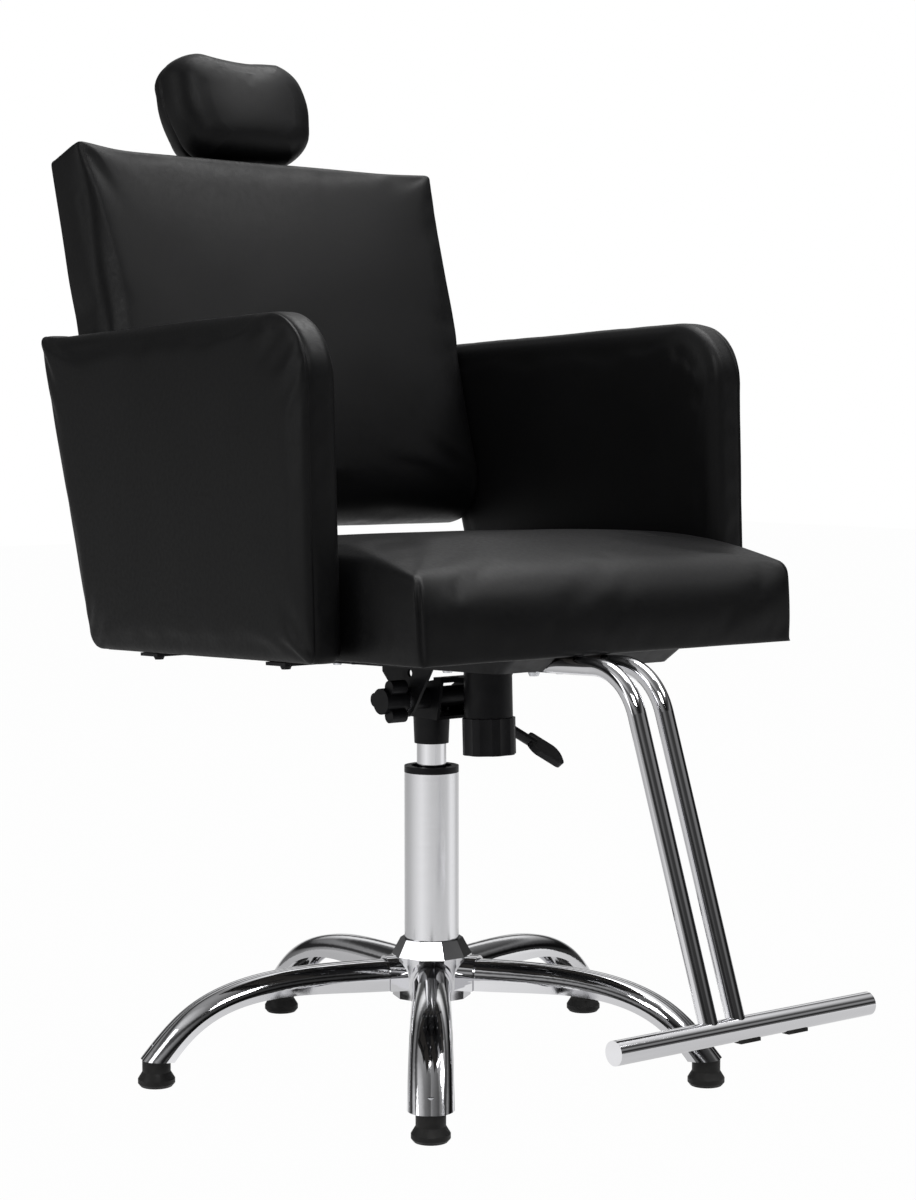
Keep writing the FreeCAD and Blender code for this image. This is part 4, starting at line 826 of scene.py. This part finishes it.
# %% [markdown]
# ## The arms
# Each arm is a padded panel. Its cover is soft and round towards the seat, and has one seam
# close to its outer face. The seam follows the rounded front corner, and that is what draws
# the arm's shape. It is plain at the front and hardly shows along the rear of the top, where
# the corner is pulled up into a small ear. Rings on both sides of the seam, close together,
# let it sink in crisply. A crease modelled by hand would not follow the outline as evenly.

# %% The arms' rings
ARM_INNER = 209.6
ARM_OUTER = 252.2
ARM_CORNERS = [Vector(c) for c in ((-165.7, 0.2), (202.8, 0.2), (290.2, 296.8), (-165.7, 296.8))]
ARM_RADII = (5, 20, 5, 58)
ARM_COUNTS = (58, 44)
ARM_CROWNS = (Vector((-0.2, 0, 0)), Vector((0.3, 0, 0)))
# Depth from the inner face, from the outer face, and how far the outline is drawn in there
ARM_SOFT_EDGE = ((0.0, 18.0), (0.3, 13.5), (1.2, 10.2), (2.8, 7.2), (5.0, 4.6), (7.6, 2.6),
                 (10.4, 1.2))
ARM_SEAM = (9.0, 2.0)
ARM_BESIDE_SEAM = 0.35
ARM_SEWN_EDGE = ((0.0, 13.0), (0.35, 8.0), (1.5, 4.2), (3.6, 1.6), (6.0, 0.5),
                 (7.8, ARM_BESIDE_SEAM), ARM_SEAM, (10.2, ARM_BESIDE_SEAM))
ARM_FLAT_PLACES = (223, 226.5, 230.1, 233.7, 237.2)
# The seam's least share of its depth, where it fades along the arm, and over what length
SEAM_LEAST = 0.25
SEAM_FADE_PLACE = 60
SEAM_FADE_LENGTH = 25
# The ear's height and width, and its shares outwards and forwards
ARM_EAR = 3.0
ARM_EAR_WIDTH = 22
ARM_EAR_OUT = 0.2
ARM_EAR_FORWARD = 0.4

arm_stations = [(ARM_INNER + depth, inset) for depth, inset in ARM_SOFT_EDGE]
arm_stations += [(x, 0.0) for x in ARM_FLAT_PLACES]
arm_stations += [(ARM_OUTER - depth, inset) for depth, inset in ARM_SEWN_EDGE[::-1]]


def seam_share(flat):
    """How plainly the seam shows: full at the front, faint along the rear of the top."""
    fade = 1 + math.exp((flat.x - SEAM_FADE_PLACE) / SEAM_FADE_LENGTH)
    return SEAM_LEAST + (1 - SEAM_LEAST) / fade


arm_rings = []
for x, inset in arm_stations:
    is_seam = x == ARM_OUTER - ARM_SEAM[0]
    plain = outline_ring(ARM_CORNERS, ARM_RADII, ARM_COUNTS, [min(inset, ARM_BESIDE_SEAM)] * 4)
    drawn = outline_ring(ARM_CORNERS, ARM_RADII, ARM_COUNTS, [inset] * 4)
    ring = []
    for near, far in zip(plain, drawn):
        flat = near.lerp(far, seam_share(far)) if is_seam else far
        gap = ARM_CORNERS[2] - flat
        ear = ARM_EAR * math.exp(-gap.length_squared / ARM_EAR_WIDTH ** 2)
        outward = ear * (x - ARM_INNER) / (ARM_OUTER - ARM_INNER)
        ring.append(Vector((x + ARM_EAR_OUT * outward, flat.x - ARM_EAR_FORWARD * ear,
                            flat.y + ear)))
    arm_rings.append(ring)
arm_cover = sewn_cover("arm_cover_left", arm_rings, ARM_COUNTS, ARM_CROWNS, seat_space)
print("arm cover:", len(arm_cover.data.vertices), "points in", len(arm_rings), "rings")

# %% [markdown]
# The seam and the ring on either side of it are pinned, and so is the place where the inner
# round ends. The outer panel may swell more than the inner one, which has the seat close
# beside it. The two arms are a pair, so one cover is sewn and the other is its mirror image.

# %% The arms' swelling, and the mirrored arm
# Distances from either face between which a ring is pinned
ARM_HELD_FROM = 7
ARM_HELD_TO = 11
ARM_INNER_REACH = 6
ARM_INNER_LIMIT = 0.9
ARM_OUTER_LIMIT = 2.2

arm_ring_size = len(arm_rings[0])
arm_held = []
for r, (x, _) in enumerate(arm_stations):
    if any(ARM_HELD_FROM < abs(x - face) < ARM_HELD_TO for face in (ARM_INNER, ARM_OUTER)):
        arm_held += range(r * arm_ring_size, (r + 1) * arm_ring_size)


def arm_limit(point):
    """The inner panel stays clear of the seat."""
    if point.x < (ARM_INNER + ARM_INNER_REACH) * MM:
        return ARM_INNER_LIMIT * MM
    return ARM_OUTER_LIMIT * MM


swollen(arm_cover, arm_held, PANEL_PRESSURE, PANEL_SLACK, arm_limit)
uneven(arm_cover, height=0.0005, size=0.08, seed=11)
mirrored = arm_cover.data.copy()
mirrored.name = "arm_cover_right"
mirrored.transform(Matrix.Scale(-1, 4, (1, 0, 0)))
mirrored.flip_normals()
arm_cover_right = bpy.data.objects.new("arm_cover_right", mirrored)
bpy.context.scene.collection.objects.link(arm_cover_right)
for cover, node in ((arm_cover, "arm_pad_left"), (arm_cover_right, "arm_pad_right")):
    smoothed(cover)
    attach(cover, "seat")
    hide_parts(node)
print("arms swelled and mirrored, with", len(arm_held), "pinned points each")

# %% [markdown]
# ## The backrest
# The backrest is a thinner box of foam in front of a board. Its lower edge is rolled under, its
# upper corners are pulled to points where three panels meet, and its sides swell out above the
# arms. The side away from the camera is sewn crisply, and the near one is a soft round. The
# rings run from the board to the face, and each side of a ring is drawn in by its own distance.

# %% The backrest's rings
BACK_LENGTH = 368.6
BACK_HALF = 208.2
BACK_CORNERS = [Vector(c) for c in ((-BACK_HALF, 0), (BACK_HALF, 0),
                                    (BACK_HALF, BACK_LENGTH), (-BACK_HALF, BACK_LENGTH))]
BACK_RADII = (5, 5, 3, 3)
BACK_COUNTS = (60, 56)
BACK_FACE_CROWN = 8
# Depth behind the face, then how far the lower side, the two sides and the top are drawn in
BACK_EDGE = ((49.6, 8.6, 8.6, 8.6), (61.2, 8.6, 8.6, 8.6), (61.9, 7.8, 7.8, 7.8),
             (62.0, 3.6, 3.4, 3.4), (61.0, 1.6, 1.2, 1.2), (58.4, 0.7, 0.4, 0.4),
             (52.0, 0.2, 0.4, 0.2), (45.0, 0.0, 0.4, 0.0), (39.0, 0.2, 0.4, 0.0),
             (34.0, 1.2, 0.4, 0.0), (29.0, 3.0, 0.4, 0.0), (24.0, 5.4, 0.6, 0.0),
             (19.5, 8.2, 0.9, 0.0), (15.5, 11.8, 1.5, 0.0), (12.0, 15.8, 2.5, 0.0),
             (8.8, 20.4, 4.2, 0.0), (6.0, 26.0, 6.8, 0.1), (3.8, 31.5, 10.0, 0.4),
             (2.0, 37.0, 14.5, 1.1), (0.7, 43.0, 20.0, 2.6))
print("back:", 2 * BACK_HALF, "by", BACK_LENGTH, "mm, in", len(BACK_EDGE), "rings")

# %% [markdown]
# Every ring is cut soft and crisp again, and each point chooses between the two. Then the
# sides swell, the top edge falls a little towards the far side, and two smooth hills at the
# upper corners pull the ears out. Moving the few corner points by hand would leave dents.

# %% The backrest's form
# How crisp the soft side gets towards its upper corner, from which height and over what length
SOFT_SIDE_CRISPNESS = 0.6
SOFT_SIDE_START = 240
SOFT_SIDE_LENGTH = 110
# A side's swell at its foot, then its rises: how much, from which height, over what length.
# Only the size of the sum counts: the soft side is narrowest where it passes zero.
CRISP_SWELL = (0.0, ((3.8, 165, 30), (-0.8, 215, 45)))
SOFT_SWELL = (-0.6, ((2.6, 190, 80),))
TOP_FALL = 0.016
EAR_REACH = (1.7, 6.5)
EAR_WIDTH = 30
EAR_OUT = 0.6
EAR_DEPTH = 30
POCKET_RINGS = 3


def side_swell(height, foot, rises):
    return foot + sum(most * smooth_step((height - start) / length)
                      for most, start, length in rises)


def back_point(soft, crisp, n):
    """Swell the sides above the arms and pull the upper corners out to points."""
    flat = crisp
    if soft.x <= 0:
        rise = smooth_step((soft.y - SOFT_SIDE_START) / SOFT_SIDE_LENGTH)
        flat = soft.lerp(crisp, SOFT_SIDE_CRISPNESS * rise)
    across = min(abs(flat.x) / BACK_HALF, 1) ** EDGE_POWER
    swell = side_swell(flat.y, *(CRISP_SWELL if flat.x > 0 else SOFT_SWELL))
    x = flat.x + math.copysign(swell * across, flat.x)
    t = flat.y - TOP_FALL * flat.x * max(flat.y / BACK_LENGTH, 0) ** 2
    for corner, reach in zip(BACK_CORNERS[2:], EAR_REACH):
        gap = (flat - corner).length
        ear = reach * math.exp(-(gap / EAR_WIDTH) ** 2)
        x += math.copysign(ear * EAR_OUT * math.exp(-max(n, 0) / EAR_DEPTH), corner.x)
        t += ear
    return Vector((x, n, t))


back_rings = []
for r, (n, low, side, top) in enumerate(BACK_EDGE):
    soft = outline_ring(BACK_CORNERS, BACK_RADII, BACK_COUNTS, [low, side, top, side])
    crisp = outline_ring(BACK_CORNERS, BACK_RADII, BACK_COUNTS, [low, top, top, top])
    back_rings.append([Vector((p.x, n, p.y)) if r < POCKET_RINGS else back_point(p, q, n)
                       for p, q in zip(soft, crisp)])
back_cover = sewn_cover("back_cover", back_rings, BACK_COUNTS,
                        (Vector((0, 0, 0)), Vector((0, -BACK_FACE_CROWN, 0))), back_space)
print("back cover:", len(back_cover.data.vertices), "points in", len(back_rings), "rings")

# %% [markdown]
# The backrest has a short seam at each corner and a long one close behind its face, up the
# crisp side and along the top. Pinned, they hold while the face swells between them. What
# lies against the board is pinned too.

# %% The backrest's seams and swelling
BACK_SEAM_DEPTH = 1.3
BACK_HELD_RINGS = 6
BACK_FACE_RINGS = 4
# The long seam starts this many steps up the crisp side, between these depths behind the face
LONG_SEAM_START = 20
LONG_SEAM_DEPTHS = (2, 13)
# Beside the arms the sides are farther out and lower than this
BACK_SIDE_FROM = 201
BACK_ARM_HEIGHT = 190

back_ring_size = len(back_rings[0])
back_corners = corner_steps(BACK_COUNTS)
back_held = list(range(BACK_HELD_RINGS * back_ring_size))
long_seam = range(back_corners[1] + LONG_SEAM_START, back_corners[3] + 1)
for r, edge in enumerate(BACK_EDGE):
    if LONG_SEAM_DEPTHS[0] < edge[0] < LONG_SEAM_DEPTHS[1]:
        back_held += [r * back_ring_size + step for step in long_seam]
for r in range(BACK_HELD_RINGS, len(back_rings) - BACK_FACE_RINGS):
    for step in back_corners:
        index = r * back_ring_size + step
        local = back_rings[r][step]
        inward = Vector((-local.x, 0, BACK_LENGTH / 2 - local.z)).normalized()
        back_cover.data.vertices[index].co = back_space @ (local + inward * BACK_SEAM_DEPTH)
        back_held.append(index)


def back_limit(point):
    """The sides stay clear of the arms; the face may rise further."""
    local = back_space.inverted() @ point
    if abs(local.x) > BACK_SIDE_FROM and local.z < BACK_ARM_HEIGHT:
        return CLOSE_LIMIT * MM
    return FREE_LIMIT * MM


swollen(back_cover, sorted(set(back_held)), PANEL_PRESSURE, PANEL_SLACK, back_limit)
uneven(back_cover, height=0.0006, size=0.07, seed=23)
smoothed(back_cover)
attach(back_cover, "seat")
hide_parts("back_cushion")

# %% [markdown]
# ## The headrest
# The headrest is a kidney-shaped pillow, soft all round, with one seam round its middle where
# the front and the back cover meet. Its outline is drawn as nine arcs, as one would draw it on
# card with a few tins of different sizes. A smooth curve through free points would be quicker
# and would look less cut.

# %% The headrest's outline
HEAD_WIDTH = 165
HEAD_HEIGHT = 111
# Each arc's first point and a point half-way along it, as shares of the width and the height
HEAD_ARCS = (
    (-0.310, 0.012, 0.000, 0.000),
    (0.290, 0.012, 0.408, 0.112),
    (0.476, 0.350, 0.494, 0.523),
    (0.470, 0.715, 0.400, 0.885),
    (0.286, 0.972, 0.183, 0.966),
    (0.067, 0.948, -0.111, 0.966),
    (-0.318, 1.012, -0.452, 0.935),
    (-0.505, 0.715, -0.498, 0.432),
    (-0.452, 0.235, -0.395, 0.088),
)
# Which arcs make the lower, right, upper and left side of the grid
HEAD_SIDES = ((0,), (1, 2, 3), (4, 5), (6, 7, 8))


def arc_points(start, middle, end):
    """Points of the circle through three points, from the first to the last."""
    a, b = middle - start, end - start
    cross = 2 * (a.x * b.y - a.y * b.x)
    centre = start + Vector((
        (b.y * a.length_squared - a.y * b.length_squared) / cross,
        (a.x * b.length_squared - b.x * a.length_squared) / cross))
    first, last = start - centre, end - centre
    turn = math.atan2(first.x * last.y - first.y * last.x, first.dot(last))
    points = []
    for i in range(ARC_STEPS + 1):
        angle = turn * i / ARC_STEPS
        points.append(centre + Matrix.Rotation(angle, 2) @ first)
    return points


head_sides = []
for side in HEAD_SIDES:
    line = []
    for k in side:
        following = HEAD_ARCS[(k + 1) % len(HEAD_ARCS)]
        line += arc_points(Vector(HEAD_ARCS[k][:2]), Vector(HEAD_ARCS[k][2:]),
                           Vector(following[:2]))
    head_sides.append([Vector((p.x * HEAD_WIDTH, p.y * HEAD_HEIGHT)) for p in line])
print("headrest outline:", len(HEAD_ARCS), "arcs")

# %% [markdown]
# The rings of the pillow are its outline scaled about the centre: small at the face, full at
# the seam and small again behind. The ring of the seam itself is a little smaller than its
# neighbours, which draws the fine line round the pillow. A squashed sphere would also be soft
# all round, but would lose the kidney's waist.

# %% The headrest's rings
HEAD_LOW = 376
HEAD_FACE = -3.9
HEAD_DEPTH = 70
HEAD_COUNTS = (30, 22)
HEAD_CROWNS = (Vector((0, -3.0, 0)), Vector((0, 0.0, 0)))
HEAD_SEAM = (0.60, 0.955)
# Place through the depth, as a share from the face, and the outline's size there
HEAD_STATIONS = ((0.02, 0.62), (0.055, 0.74), (0.12, 0.845), (0.21, 0.92), (0.32, 0.965),
                 (0.44, 0.985), (0.53, 0.990), (0.575, 0.988), HEAD_SEAM, (0.625, 0.986),
                 (0.70, 0.980), (0.80, 0.960), (0.89, 0.930), (0.955, 0.885), (0.99, 0.81))

head_outline = []
for k, line in enumerate(head_sides):
    head_outline += resampled(line, HEAD_COUNTS[k % 2])[:-1]


def head_ring(size, n):
    middle = HEAD_HEIGHT / 2
    return [Vector((p.x * size, n, HEAD_LOW + middle + (p.y - middle) * size))
            for p in head_outline]


head_rings = [head_ring(size, HEAD_FACE + place * HEAD_DEPTH) for place, size in HEAD_STATIONS]
head_cover = sewn_cover("headrest_cover", head_rings, HEAD_COUNTS, HEAD_CROWNS, back_space)
print("headrest cover:", len(head_cover.data.vertices), "points in", len(head_rings), "rings")

# %% [markdown]
# A pillow is filled more loosely than a seat, so it gets more pressure and more slack. Only
# its seam is pinned.

# %% The headrest's swelling
HEAD_PRESSURE = 3.0
HEAD_SLACK = 0.005
HEAD_LIMIT = 2.6
HEAD_REAR_LIMIT = 0.3
HEAD_REAR_FROM = 63

head_ring_size = len(head_rings[0])
seam_ring = HEAD_STATIONS.index(HEAD_SEAM)
head_held = list(range(seam_ring * head_ring_size, (seam_ring + 1) * head_ring_size))


def head_limit(point):
    """The pillow's back lies flat on its board, so it hardly moves."""
    local = back_space.inverted() @ point
    return (HEAD_REAR_LIMIT if local.y > HEAD_REAR_FROM else HEAD_LIMIT) * MM


swollen(head_cover, head_held, HEAD_PRESSURE, HEAD_SLACK, head_limit)
uneven(head_cover, height=0.0007, size=0.05, seed=31)
smoothed(head_cover)
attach(head_cover, "headrest")
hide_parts("headrest_cushion")
print("headrest sewn to its seam of", len(head_held), "points")
